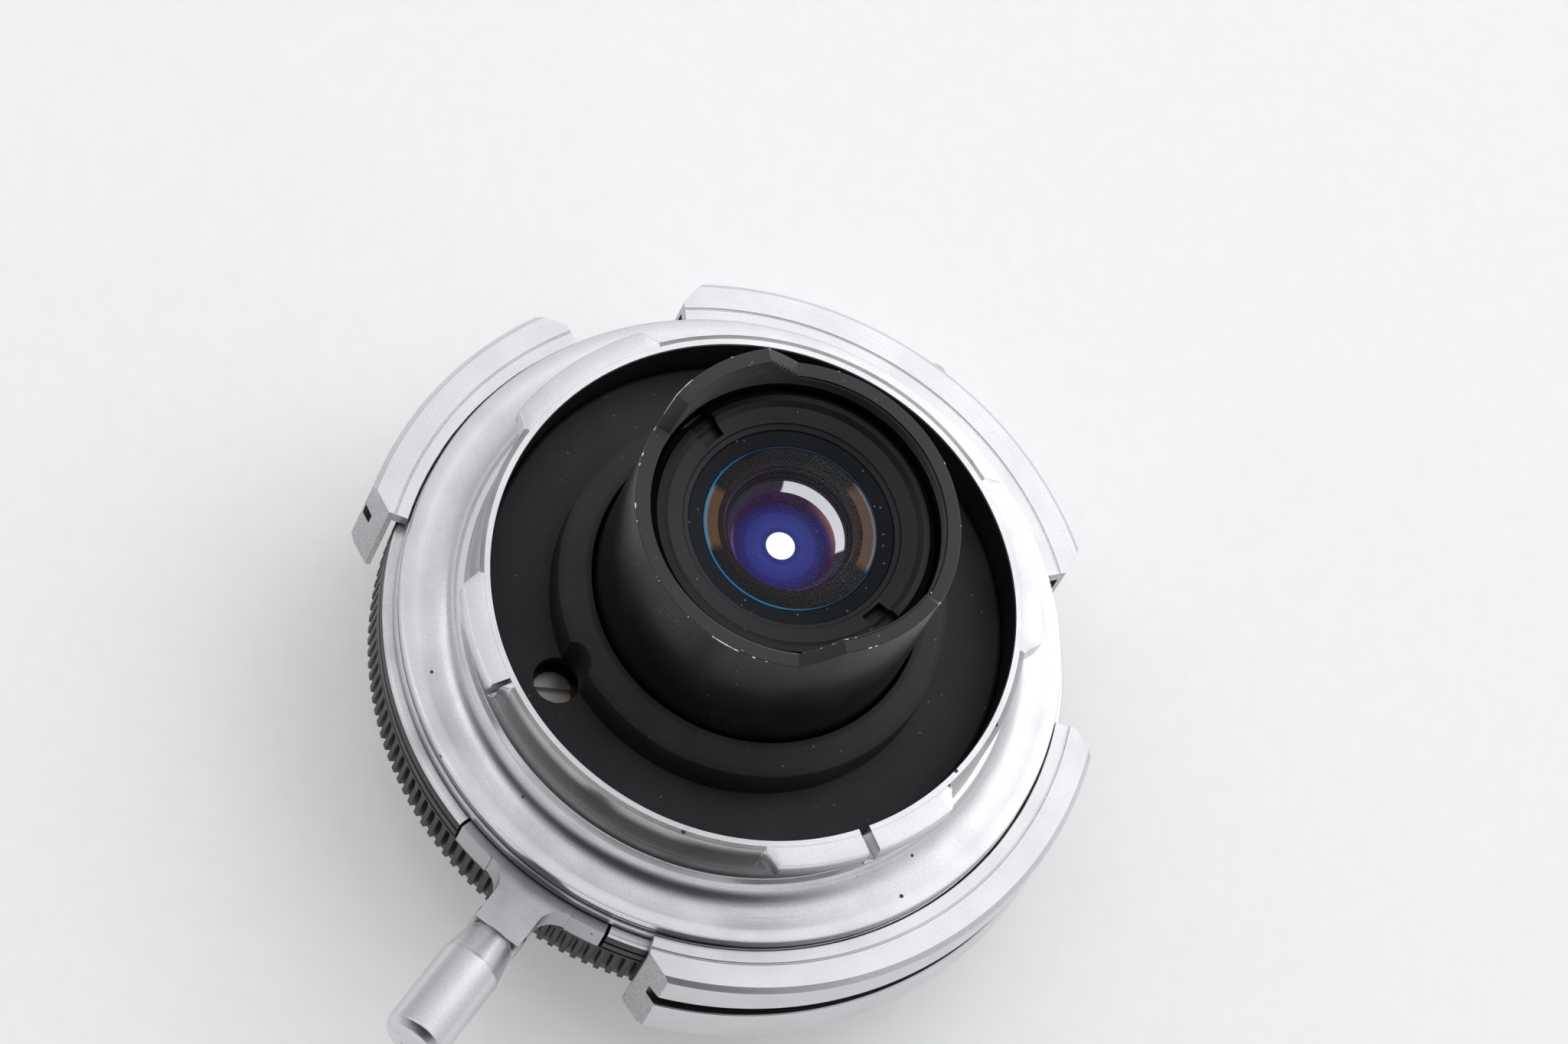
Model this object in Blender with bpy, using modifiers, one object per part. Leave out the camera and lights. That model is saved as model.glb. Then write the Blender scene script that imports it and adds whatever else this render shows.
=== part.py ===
"""Compact wide-angle camera lens with a four-lug bayonet, seen as a stack of turned rings.

Frame: the origin is the centre of the flange's seating face, on the optical axis.
+Z runs along the optical axis towards the camera, so the front of the lens is at -Z.
The focusing lever points along -Y. All lengths in the constants are millimetres.
"""
import math

import bmesh
import bpy
from mathutils import Matrix, Vector

MM = 0.001

# ---------------------------------------------------------------- driving dimensions (mm)
FLANGE_R = 25.15            # seating disc
FLANGE_T = 1.0
BORE_R = 19.75              # inside of the bayonet tube
TUBE_R = 20.7               # bayonet tube between the lugs
LUG_R = 21.9
LUG_TOP = 6.9
LUG_UNDER = 5.2
LUGS = ((146.4, 180.4), (217.5, 241.5), (307.9, 348.9), (387.4, 425.0))   # degrees
LUG_SLOT = (327.6, 330.0)
LUG_END_SLOT = (241.5, 242.7)

GRIP_R = 28.65              # scalloped grip ring
GRIP_BORE = 26.5
GRIP_TOP = -1.0
GRIP_FRONT = -10.5
GRIP_VALLEYS = ((199.4, 291.6), (23.4, 50.4), (132.4, 152.4))
GRIP_CHAMFER_DEG = 3.9

FOCUS_R = 26.0              # focusing ring and its lever
FOCUS_REAR = -2.4
FOCUS_FRONT = -4.9
LEVER_ARMS = (255.1, 284.1)
LEVER_ARM_IN = 24.9
LEVER_NECK = 1.95           # half width of the neck
LEVER_END = 30.3
KNOB_Z = -3.6
KNOB_R = 2.45
KNOB_START = 30.6
KNOB_END = 41.0
FOCUS_FAR_DEG = 12.0        # turn to the infinity stop
FOCUS_NEAR_DEG = 58.0       # turn to the near stop
STOP_AZ = 90.0
STOP_Z = -6.4
LIP_REAR = -8.1             # lip that keeps the focusing ring on the barrel
LIP_FRONT = -9.8

APERTURE_R = 25.9           # ribbed aperture ring
APERTURE_IN = 23.3
APERTURE_REAR = -5.2
APERTURE_FRONT = -11.8
APERTURE_TURN = 45.0
DRIVE_AZ = 150.0

SHROUD_R = 12.1             # rear shroud tube
SHROUD_IN = 10.9
SHROUD_RIM = 20.8
SHROUD_TONGUE = 23.4
TONGUES = ((124.4, 138.4, 177.4, 185.4), (304.4, 318.4, 357.4, 365.4))

BLADES = 8                  # iris
BLADE_PIVOT_R = 9.5
BLADE_IN = 6.0
BLADE_OUT = 10.4
BLADE_CLOSED_DEG = 28.6
BLADE_TOP = -3.75
BLADE_STEP = 0.2
BLADE_T = 0.1

FRONT_R = 24.0              # front barrel, a shallow cone
FRONT_RIM_R = 21.0
FRONT_BORE = 19.8
FRONT_Z = -18.2
GAP = 0.3

# ---------------------------------------------------------------- scene set-up
for old in list(bpy.data.objects):
    bpy.data.objects.remove(old, do_unlink=True)

parts = bpy.data.collections.new("bayonet_camera_lens")
cutters = bpy.data.collections.new("cutters")
bpy.context.scene.collection.children.link(parts)
bpy.context.scene.collection.children.link(cutters)


def material(name, colour, roughness, metallic=0.0):
    mat = bpy.data.materials.new(name)
    mat.use_nodes = True
    bsdf = mat.node_tree.nodes["Principled BSDF"]
    bsdf.inputs["Base Color"].default_value = (*colour, 1.0)
    bsdf.inputs["Roughness"].default_value = roughness
    bsdf.inputs["Metallic"].default_value = metallic
    return mat


CHROME = material("satin_chrome", (0.80, 0.80, 0.82), 0.25, 1.0)
STEEL = material("turned_steel", (0.62, 0.61, 0.60), 0.35, 1.0)
BRASS = material("barrel_brass", (0.60, 0.48, 0.26), 0.4, 1.0)
BLACK = material("black_anodised", (0.035, 0.035, 0.038), 0.5)
MATT = material("matt_black", (0.02, 0.02, 0.022), 0.75)
BLADE = material("blade_steel", (0.05, 0.05, 0.055), 0.45, 0.5)
GLASS = material("coated_glass", (0.10, 0.10, 0.30), 0.05)
BEAD = material("index_bead", (0.65, 0.03, 0.03), 0.3)


def polar(radius, degrees):
    a = math.radians(degrees)
    return radius * math.cos(a), radius * math.sin(a)


def arc(radius, start, end, steps):
    return [polar(radius, start + (end - start) * i / steps) for i in range(steps + 1)]


def parent_empty(name, location=(0.0, 0.0, 0.0)):
    empty = bpy.data.objects.new(name, None)
    empty.empty_display_size = 0.01
    empty.location = Vector(location) * MM
    parts.objects.link(empty)
    return empty


MOUNT = parent_empty("mount_axis")
FOCUS = parent_empty("focus_axis")
OPTICS = parent_empty("optics_axis")
APERTURE = parent_empty("aperture_axis")
APERTURE.parent = OPTICS


def finish(obj, mat, parent, angle=35.0):
    obj.data.materials.clear()
    obj.data.materials.append(mat)
    obj.data.shade_smooth()
    obj.data.set_sharp_from_angle(angle=math.radians(angle))
    if parent is not None:
        obj.parent = parent
    return obj


def turned(name, profile, mat, parent, steps=48, group=parts):
    """A profile of (radius, z) points that runs down the outer side, swept round Z."""
    on_axis = profile[0][0] == 0.0
    bm = bmesh.new()
    points = [bm.verts.new((r * MM, 0.0, z * MM)) for r, z in profile]
    pairs = list(zip(points, points[1:]))
    if not on_axis:
        pairs.append((points[-1], points[0]))
    for a, b in pairs:
        bm.edges.new((a, b))
    mesh = bpy.data.meshes.new(name)
    bm.to_mesh(mesh)
    bm.free()
    obj = bpy.data.objects.new(name, mesh)
    group.objects.link(obj)
    screw = obj.modifiers.new("turn", "SCREW")
    screw.axis = "Z"
    screw.angle = math.radians(360.0)
    screw.steps = steps
    screw.render_steps = steps
    screw.use_merge_vertices = True
    screw.merge_threshold = 0.00001
    screw.use_smooth_shade = True
    return finish(obj, mat, parent)


def outline(name, points, z_low, z_high, mat, parent, group=parts, frame=None):
    """A flat closed outline (x, y) given thickness between two heights."""
    curve = bpy.data.curves.new(name + "_outline", "CURVE")
    curve.dimensions = "2D"
    curve.fill_mode = "BOTH"
    curve.extrude = (z_high - z_low) * 0.5 * MM
    spline = curve.splines.new("POLY")
    spline.points.add(len(points) - 1)
    for slot, (x, y) in zip(spline.points, points):
        slot.co = (x * MM, y * MM, 0.0, 1.0)
    spline.use_cyclic_u = True
    shape = bpy.data.objects.new(name + "_outline", curve)
    bpy.context.scene.collection.objects.link(shape)
    shape.location.z = (z_high + z_low) * 0.5 * MM
    bpy.context.view_layer.update()
    mesh = bpy.data.meshes.new_from_object(shape.evaluated_get(bpy.context.evaluated_depsgraph_get()))
    mesh.name = name
    bm = bmesh.new()
    bm.from_mesh(mesh)
    bmesh.ops.remove_doubles(bm, verts=bm.verts, dist=0.000001)
    bmesh.ops.transform(bm, matrix=shape.matrix_world, verts=bm.verts)
    if frame is not None:
        bmesh.ops.transform(bm, matrix=frame, verts=bm.verts)
    bmesh.ops.recalc_face_normals(bm, faces=bm.faces)
    bm.to_mesh(mesh)
    bm.free()
    obj = bpy.data.objects.new(name, mesh)
    group.objects.link(obj)
    bpy.data.objects.remove(shape, do_unlink=True)
    if mat is not None:
        finish(obj, mat, parent)
    return obj


def cylinder(name, radius, z_low, z_high, centre, mat, parent, group=parts, segments=24, top=None):
    bm = bmesh.new()
    bmesh.ops.create_cone(bm, cap_ends=True, segments=segments, radius1=radius * MM,
                          radius2=(radius if top is None else top) * MM, depth=(z_high - z_low) * MM)
    bmesh.ops.translate(bm, vec=(centre[0] * MM, centre[1] * MM, (z_low + z_high) * 0.5 * MM),
                        verts=bm.verts)
    mesh = bpy.data.meshes.new(name)
    bm.to_mesh(mesh)
    bm.free()
    obj = bpy.data.objects.new(name, mesh)
    group.objects.link(obj)
    if mat is not None:
        finish(obj, mat, parent)
    return obj


def as_cutter(obj):
    obj.hide_render = True
    obj.display_type = "WIRE"
    return obj


def cut(target, tool):
    mod = target.modifiers.new("cut_" + tool.name, "BOOLEAN")
    mod.operation = "DIFFERENCE"
    mod.solver = "EXACT"
    mod.object = as_cutter(tool)


def sector(name, r_in, r_out, start, end, z_low, z_high, steps=8):
    """A ring sector used as a cutter."""
    points = arc(r_in, start, end, steps) + arc(r_out, end, start, steps)
    return outline(name, points, z_low, z_high, None, None, cutters)


# ---------------------------------------------------------------- fixed mount
bayonet = turned("bayonet_mount", [
    (LUG_R - 0.25, LUG_TOP), (LUG_R, LUG_TOP - 0.25), (LUG_R, LUG_UNDER), (TUBE_R, LUG_UNDER - 0.2),
    (TUBE_R, 1.5), (21.15, 1.35), (22.6, 0.0), (FLANGE_R - 0.2, 0.0), (FLANGE_R, -0.2),
    (FLANGE_R, -FLANGE_T), (BORE_R, -FLANGE_T), (BORE_R, LUG_TOP)], CHROME, MOUNT, steps=64)
for i in range(len(LUGS)):
    start = LUGS[i][1]
    end = LUGS[(i + 1) % len(LUGS)][0]
    end += 360.0 * math.ceil((start - end) / 360.0)
    cut(bayonet, sector("lug_gap_%d" % (i + 1), TUBE_R + 0.02, 24.0, start, end, 1.6, 8.0, 10))
cut(bayonet, sector("lug_slot", 19.0, 24.0, *LUG_SLOT, 5.0, 8.0, 2))
cut(bayonet, sector("lug_end_slot", 20.25, 24.0, LUG_END_SLOT[0] - 1.2, LUG_END_SLOT[1] - 1.2, 5.0, 8.0, 2))

grip = turned("grip_ring", [
    (GRIP_R - 0.35, GRIP_TOP), (GRIP_R, GRIP_TOP - 0.35), (GRIP_R, -4.35), (GRIP_R - 0.8, -4.5),
    (GRIP_R - 0.8, -5.8), (GRIP_R, -5.95), (GRIP_R, GRIP_FRONT + 0.5), (GRIP_R - 0.5, GRIP_FRONT),
    (GRIP_BORE, GRIP_FRONT), (GRIP_BORE, -2.1), (22.0, -2.1), (22.0, -FLANGE_T - GAP),
    (FLANGE_R + GAP, -FLANGE_T - GAP), (FLANGE_R + GAP, GRIP_TOP)], CHROME, MOUNT, steps=64)
for i, (start, end) in enumerate(GRIP_VALLEYS):
    low, high = start - GRIP_CHAMFER_DEG, end + GRIP_CHAMFER_DEG
    points = (arc(FLANGE_R, start, end, 14) + [polar(26.9, end), polar(GRIP_R + 0.1, high)]
              + arc(33.0, high, low, 10) + [polar(GRIP_R + 0.1, low), polar(26.9, start)])
    cut(grip, outline("valley_%d" % (i + 1), points, -12.0, 0.5, None, None, cutters))

barrel = turned("main_barrel", [
    (19.45, 2.2), (19.45, -1.3), (21.8, -1.3), (21.8, LIP_REAR + GAP), (20.3, LIP_REAR + GAP), (20.3, -2.1),
    (18.45, -2.1), (18.45, -1.2), (13.2, -1.2), (13.2, 0.0), (17.8, 0.0), (17.8, 2.2)], BRASS, MOUNT)

plate = turned("baffle_plate", [
    (12.9, 7.5), (14.3, 6.85), (14.7, 6.5), (14.7, 3.3), (19.2, 3.3), (19.45, 3.05), (19.45, 2.5),
    (12.4, 2.5), (12.4, 7.5)], MATT, MOUNT)
hole_xy = polar(15.75, 241.4)
cut(plate, cylinder("screw_access", 1.8, 1.5, 8.5, hole_xy, None, None, cutters, 20))

for i in range(3):
    xy = polar(15.75, 241.4 + 120.0 * i)
    screw = cylinder("mount_screw_%d" % (i + 1), 1.5, 0.1, 1.3, xy, STEEL, MOUNT, segments=20)
    bm = bmesh.new()
    bmesh.ops.create_cube(bm, size=1.0)
    bmesh.ops.scale(bm, vec=(4.0 * MM, 0.45 * MM, 0.9 * MM), verts=bm.verts)
    bmesh.ops.transform(bm, matrix=Matrix.Translation((xy[0] * MM, xy[1] * MM, 1.3 * MM))
                        @ Matrix.Rotation(math.radians(35.0 + 50.0 * i), 4, "Z"), verts=bm.verts)
    slot_mesh = bpy.data.meshes.new("screw_slot_%d" % (i + 1))
    bm.to_mesh(slot_mesh)
    bm.free()
    slot = bpy.data.objects.new("screw_slot_%d" % (i + 1), slot_mesh)
    cutters.objects.link(slot)
    cut(screw, slot)

bead = cylinder("index_bead", 1.0, 0.0, 0.55, (0.0, 0.0), BEAD, MOUNT, segments=16, top=0.6)
bead.data.transform(Matrix.Translation((0.0, (GRIP_R + 0.1) * MM, -2.8 * MM))
                    @ Matrix.Rotation(math.radians(-90.0), 4, "X"))

outline("guide_key", [(18.9, -1.0), (20.15, -1.0), (20.15, 1.0), (18.9, 1.0)], -7.6, -4.9,
        STEEL, MOUNT)

stop = cylinder("focus_stop_pin", 0.8, 21.95, 22.9, (0.0, 0.0), STEEL, MOUNT, segments=16)
stop.data.transform(Matrix.Translation((0.0, 0.0, STOP_Z * MM)) @ Matrix.Rotation(math.radians(-90.0), 4, "X"))

# ---------------------------------------------------------------- focusing ring and lever
focus = turned("focus_ring", [
    (25.6, FOCUS_REAR), (25.9, FOCUS_REAR - 0.15), (FOCUS_R, FOCUS_REAR - 0.45), (FOCUS_R, FOCUS_FRONT),
    (23.0, FOCUS_FRONT), (23.0, LIP_FRONT), (20.6, LIP_FRONT), (20.6, LIP_REAR), (22.0, LIP_REAR),
    (22.0, FOCUS_REAR)], CHROME, FOCUS, steps=64)
cut(focus, sector("lever_pocket", LEVER_ARM_IN - GAP, 28.0, LEVER_ARMS[0] - 0.6, LEVER_ARMS[1] + 0.6,
                  FOCUS_FRONT - 0.5, 0.0, 6))
pin_half = math.degrees(0.8 / 22.0) + 0.8
cut(focus, sector("stop_slot", 21.0, 24.5, STOP_AZ - pin_half - FOCUS_FAR_DEG,
                  STOP_AZ + pin_half + FOCUS_NEAR_DEG, STOP_Z - 1.1, STOP_Z + 1.1, 16))


def fillet(centre, radius, start, end, steps=6):
    return [(centre[0] + radius * math.cos(math.radians(start + (end - start) * i / steps)),
             centre[1] + radius * math.sin(math.radians(start + (end - start) * i / steps)))
            for i in range(steps + 1)]


FILLET = 1.9
fx = LEVER_NECK + FILLET
fy = -math.sqrt((FOCUS_R + FILLET) ** 2 - fx ** 2)
meet = math.degrees(math.atan2(-fy, -fx))
lever_points = (arc(LEVER_ARM_IN, LEVER_ARMS[0], LEVER_ARMS[1], 8)
                + arc(FOCUS_R + 0.05, LEVER_ARMS[1], 270.0 + math.degrees(math.asin(fx / (FOCUS_R + FILLET))), 3)
                + fillet((fx, fy), FILLET, 180.0 - meet, 180.0)[1:]
                + [(LEVER_NECK, -LEVER_END), (-LEVER_NECK, -LEVER_END)]
                + fillet((-fx, fy), FILLET, 0.0, meet)[:-1]
                + arc(FOCUS_R + 0.05, 270.0 - math.degrees(math.asin(fx / (FOCUS_R + FILLET))), LEVER_ARMS[0], 3))
outline("focus_lever", lever_points, FOCUS_FRONT, FOCUS_REAR + 0.05, CHROME, FOCUS)

knob = turned("lever_knob", [
    (0.0, -KNOB_START), (1.95, -KNOB_START), (KNOB_R, -33.3), (KNOB_R, -KNOB_END + 0.6),
    (KNOB_R - 0.5, -KNOB_END), (0.0, -KNOB_END)], CHROME, FOCUS, steps=24)
knob.rotation_euler = (math.radians(-90.0), 0.0, 0.0)
knob.location = (0.0, 0.0, KNOB_Z * MM)

# ---------------------------------------------------------------- optical unit, slides on the axis
shroud = turned("rear_shroud", [
    (SHROUD_R, SHROUD_TONGUE), (SHROUD_R, -1.6), (18.1, -1.6), (18.1, -2.4), (SHROUD_IN, -2.4),
    (SHROUD_IN, SHROUD_TONGUE)], BLACK, OPTICS)
for i in range(2):
    low = TONGUES[i][3]
    high = TONGUES[(i + 1) % 2][0] + (360.0 if i else 0.0)
    cut(shroud, sector("rim_cut_%d" % (i + 1), 9.0, 14.0, low, high, SHROUD_RIM, 26.0, 12))
for i, (a0, a1, a2, a3) in enumerate(TONGUES):
    for side, (foot, crest) in enumerate(((a0, a1), (a3, a2))):
        mid = math.radians((foot + crest) * 0.5)
        foot_d, crest_d = (math.radians(a) - mid for a in (foot, crest))
        run = [(SHROUD_R * math.tan(foot_d) * 1.0, SHROUD_RIM), (SHROUD_R * math.tan(crest_d), SHROUD_TONGUE),
               (SHROUD_R * math.tan(crest_d), 26.0), (SHROUD_R * math.tan(foot_d), 26.0)]
        frame = (Matrix.Rotation(mid, 4, "Z") @ Matrix(((0, 0, 1, 0), (1, 0, 0, 0), (0, 1, 0, 0), (0, 0, 0, 1))))
        cut(shroud, outline("ramp_%d_%d" % (i + 1, side + 1), run, 9.0, 14.0, None, None, cutters, frame))

ring = turned("rear_retaining_ring", [
    (10.2, 19.3), (10.6, 18.9), (10.6, 16.5), (6.7, 16.5), (6.7, 18.2), (8.0, 18.8)], MATT, OPTICS, steps=40)
for i, az in enumerate((168.0, 348.0)):
    cut(ring, sector("spanner_slot_%d" % (i + 1), 8.3, 12.0, az - 6.0, az + 6.0, 18.0, 21.0, 3))

turned("rear_lens", [
    (0.0, 19.0), (2.4, 18.9), (4.6, 18.6), (6.4, 18.15), (6.4, 16.2), (8.0, 16.2), (8.0, 12.6),
    (4.0, 13.2), (0.0, 13.5)], GLASS, OPTICS, steps=32)
turned("rear_spacer", [
    (10.6, 16.2), (10.6, 3.0), (7.2, 3.0), (7.2, 4.0), (8.3, 4.2), (8.3, 16.2)], MATT, OPTICS, steps=32)
turned("rear_inner_lens", [
    (0.0, 11.2), (4.0, 11.6), (8.0, 12.2), (8.0, 4.5), (5.0, 4.7), (0.0, 4.2)], GLASS, OPTICS, steps=32)

turned("iris_housing", [
    (14.0, -3.7), (14.0, -6.0), (5.7, -6.0), (5.7, -5.6), (11.6, -5.6), (11.6, -3.7)],
    BLACK, OPTICS, steps=40)

front = turned("front_barrel", [
    (20.1, -2.6), (20.1, APERTURE_FRONT - GAP), (FRONT_R, APERTURE_FRONT - GAP), (FRONT_R, -12.6),
    (21.6, -17.4), (FRONT_RIM_R, FRONT_Z), (FRONT_BORE, FRONT_Z), (FRONT_BORE, -14.4), (18.5, -13.6),
    (18.5, -2.6)],
    BLACK, OPTICS, steps=64)
cut(front, sector("drive_slot", 17.5, 21.5, DRIVE_AZ - 5.0, DRIVE_AZ + APERTURE_TURN + 5.0, -11.75, -10.0, 12))
cut(front, outline("key_slot", [(17.5, -1.3), (21.5, -1.3), (21.5, 1.3), (17.5, 1.3)],
                   -8.9, -3.8, None, None, cutters))

turned("front_cell", [
    (16.2, -6.4), (16.2, -12.2), (18.2, -12.2), (18.2, -13.4), (13.0, -14.6), (11.8, -14.6),
    (11.8, -11.4), (9.3, -11.4), (9.3, -6.4)], MATT, OPTICS, steps=40)
turned("front_inner_lens", [
    (0.0, -7.2), (4.5, -6.9), (9.0, -6.6), (9.0, -10.8), (4.5, -10.2), (0.0, -9.9)],
    GLASS, OPTICS, steps=32)
turned("front_lens", [
    (0.0, -12.6), (5.0, -12.2), (8.8, -11.7), (11.5, -11.7), (11.5, -14.4), (9.6, -15.6), (5.4, -16.7),
    (0.0, -17.1)], GLASS, OPTICS, steps=40)
turned("front_trim_ring", [
    (13.6, -14.9), (19.5, -14.9), (19.5, -17.2), (18.6, -17.2), (13.2, -16.0), (12.0, -15.7),
    (12.0, -14.9)], BLACK, OPTICS, steps=48)

ball_bm = bmesh.new()
bmesh.ops.create_uvsphere(ball_bm, u_segments=14, v_segments=8, radius=0.75 * MM)
bmesh.ops.translate(ball_bm, vec=(22.2 * MM, 0.0, -10.9 * MM), verts=ball_bm.verts)
ball_mesh = bpy.data.meshes.new("click_ball")
ball_bm.to_mesh(ball_mesh)
ball_bm.free()
ball = bpy.data.objects.new("click_ball", ball_mesh)
parts.objects.link(ball)
finish(ball, STEEL, OPTICS)
outline("click_spring", arc(20.6, -16.0, 16.0, 8) + arc(21.0, 16.0, -16.0, 8), -11.5, -10.3, STEEL, OPTICS)

# ---------------------------------------------------------------- aperture ring and iris
turned("aperture_ring", [
    (25.5, APERTURE_REAR), (APERTURE_R, APERTURE_REAR - 0.35), (APERTURE_R, -9.2), (25.3, -9.5),
    (25.2, -10.2), (24.4, APERTURE_FRONT), (APERTURE_IN, APERTURE_FRONT), (APERTURE_IN, APERTURE_REAR)],
    BLACK, APERTURE, steps=64)
turned("iris_cam_ring", [
    (14.0, -2.8), (14.0, -3.4), (7.0, -3.4), (7.0, -2.8)], STEEL, APERTURE, steps=40)
drive_frame = (Matrix.Rotation(math.radians(DRIVE_AZ), 4, "Z")
               @ Matrix(((1, 0, 0, 0), (0, 0, 1, 0), (0, 1, 0, 0), (0, 0, 0, 1))))
outline("aperture_drive", [
    (14.3, -2.8), (17.9, -2.8), (17.9, -10.3), (23.0, -10.3), (23.0, -11.4), (16.9, -11.4), (16.9, -3.4),
    (14.3, -3.4)], -1.0, 1.0, STEEL, APERTURE, frame=drive_frame)

for i in range(BLADES):
    az = 360.0 / BLADES * i
    pivot = polar(BLADE_PIVOT_R, az)
    holder = parent_empty("blade_pivot_%d" % (i + 1), (pivot[0], pivot[1], 0.0))
    holder.parent = OPTICS
    top = BLADE_TOP - BLADE_STEP * i
    shape = ([polar(BLADE_IN, a) for a in [112.0 - 112.0 * k / 14 for k in range(15)]]
             + [polar(BLADE_OUT, a) for a in [-6.0 + 112.0 * k / 14 for k in range(15)]])
    turn = (Matrix.Rotation(math.radians(az), 4, "Z") @ Matrix.Translation((BLADE_PIVOT_R * MM, 0.0, 0.0))
            @ Matrix.Rotation(math.radians(BLADE_CLOSED_DEG), 4, "Z")
            @ Matrix.Translation((-BLADE_PIVOT_R * MM, 0.0, 0.0)))
    blade = outline("iris_blade_%d" % (i + 1), shape, top - BLADE_T, top, BLADE, None, frame=turn)
    blade.data.transform(Matrix.Translation((-pivot[0] * MM, -pivot[1] * MM, 0.0)))
    blade.parent = holder
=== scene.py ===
import math
import random

import bmesh
import bpy
from mathutils import Matrix, Vector


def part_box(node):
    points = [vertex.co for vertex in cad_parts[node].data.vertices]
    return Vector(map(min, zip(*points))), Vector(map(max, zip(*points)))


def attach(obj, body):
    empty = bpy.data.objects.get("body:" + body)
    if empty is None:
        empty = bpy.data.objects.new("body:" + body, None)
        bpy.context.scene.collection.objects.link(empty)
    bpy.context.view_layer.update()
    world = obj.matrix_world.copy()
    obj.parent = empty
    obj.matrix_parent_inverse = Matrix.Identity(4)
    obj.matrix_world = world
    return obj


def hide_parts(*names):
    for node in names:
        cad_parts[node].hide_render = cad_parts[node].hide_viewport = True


# Looks of a compact wide-angle camera lens with a four-lug bayonet, dressed on its CAD frame.
# Profiles are (radius, height) points in millimetres round the optical axis, which is Z.
# Azimuths are in degrees round Z, seen from the camera side, and the focusing lever is at 270.

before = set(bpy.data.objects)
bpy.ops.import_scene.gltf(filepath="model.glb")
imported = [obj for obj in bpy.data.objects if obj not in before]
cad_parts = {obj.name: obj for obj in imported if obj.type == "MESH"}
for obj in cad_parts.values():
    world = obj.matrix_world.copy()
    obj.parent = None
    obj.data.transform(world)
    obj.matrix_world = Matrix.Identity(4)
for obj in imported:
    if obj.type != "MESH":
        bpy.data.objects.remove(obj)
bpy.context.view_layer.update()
MM = 0.001

# ---------------------------------------------------------------- driving dimensions (mm, degrees)
FLANGE_R = 25.15
BORE_R = 19.75
TUBE_R = 20.7
LUG_R = 21.9
LUG_TOP = 6.9
LUG_UNDER = 5.2
LUGS = ((146.4, 180.4), (217.5, 241.5), (307.9, 348.9), (27.4, 65.0))
LUG_RAMP = 3.8                   # width of the curved run-out at each lug's end
LUG_SLOT = (328.8, 1.2)          # centre, half width
LUG_END_SLOT = (240.9, 0.55)
SLOT_DEPTH = 1.9
LUG_TOP_IN = 20.3                # where the tube's rim ends and a lug's top begins
TUBE_LINE_Z = 3.16               # middle of the fine turned line round the tube
TUBE_FOOT_Z = 1.55
FLANGE_FRONT = -1.0

GRIP_R = 28.65
GRIP_BORE = 26.5
GRIP_LANDS = ((152.4, 199.4), (50.4, 132.4), (291.6, 383.4))
GRIP_CHAMFER = 3.9               # how far each end is cut back at the rim, in degrees
GRIP_BEND_R = 26.9               # where that cut begins
GRIP_REAR = -1.0
GRIP_FRONT = -10.5
DISC_FRONT = -2.1
GROOVE_R = GRIP_R - 0.8
GROOVE_REAR = -4.47
GROOVE_FRONT = -5.88

FOCUS_R = 26.0
FOCUS_BORE = 22.0
FOCUS_REAR = -2.4
FOCUS_FRONT = -4.9
SLEEVE_R = 23.0
SLEEVE_FRONT = -9.8
LEVER_ARMS = (255.1, 284.1)
LEVER_ARM_IN = 24.9
LEVER_NECK = 1.95
LEVER_END = 30.3
LEVER_FILLET = 1.9
KNOB_Z = -3.6
KNOB_R = 2.45
KNOB_START = 30.4
KNOB_END = 41.0

RING_R = 25.9                    # ribbed aperture ring
RIB_FOOT_R = 25.25
RING_BORE = 23.3
RING_REAR = -5.2
RING_FRONT = -11.8
RIBS = 172

BAFFLE_R = 19.68
BAFFLE_Z = 3.3
BAFFLE_UNDER = 2.5
COLLAR_R = 14.7
COLLAR_BORE = 12.4
COLLAR_Z = 7.5
ACCESS_HOLE = (15.75, 241.4, 1.8)     # radius of its centre, azimuth, hole radius

SHROUD_R = 12.1
SHROUD_IN = 10.9
RIM_Z = 20.8
TONGUE_Z = 23.4
TONGUES = ((124.4, 138.4, 177.4, 185.4), (304.4, 318.4, 357.4, 365.4))
SHROUD_FOOT = (18.1, -1.6, -2.4)      # radius, upper and lower side of its hidden flange
THREAD_PITCH = 0.32
THREAD_DEPTH = 0.2
THREAD_FOOT = 19.4
THREAD_STEPS = 72
SPANNER_SLOTS = (168.0, 348.0)
SPANNER_HALF = 6.0
SPANNER_DEPTH = 0.75

GLASS_R = 6.42
GLASS_TOP = 19.0
GLASS_SAG = 0.8
GLASS_SKIN = 0.08
EDGE_RING = (6.36, 6.49)              # inner and outer radius of the painted highlight ring round the glass
FUNNEL_TOP = (4.95, 18.12)            # the cone that carries painted reflections under the glass: radius and height
FUNNEL_FOOT = (3.42, 14.9)
PUPIL_R = 1.07

FRONT_Z = -18.2
FILTER_R = 19.8                       # bore of the front's grooved mouth
TRIM_STEP_R = 15.9
FRONT_GLASS_R = 11.5
FRONT_GLASS_Z = -14.4                 # its edge
FRONT_GLASS_BULGE = 2.7
CELL_BORE = 9.3

CAMERA_AT = (37.478, -297.296, 594.509)
CAMERA_AIM = (-1.866, 9.4815, 0.0)
CAMERA_ROLL = 30.0335
CAMERA_LENS = 206.06


# ---------------------------------------------------------------- shape helpers
def polar(radius, azimuth, z=0.0):
    a = math.radians(azimuth)
    return Vector((radius * math.cos(a), radius * math.sin(a), z)) * MM


def smooth_step(x):
    x = min(max(x, 0.0), 1.0)
    return x * x * (3.0 - 2.0 * x)


def apart(azimuth, centre):
    """Signed angle from centre to azimuth, -180 to 180."""
    return (azimuth - centre + 180.0) % 360.0 - 180.0


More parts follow.
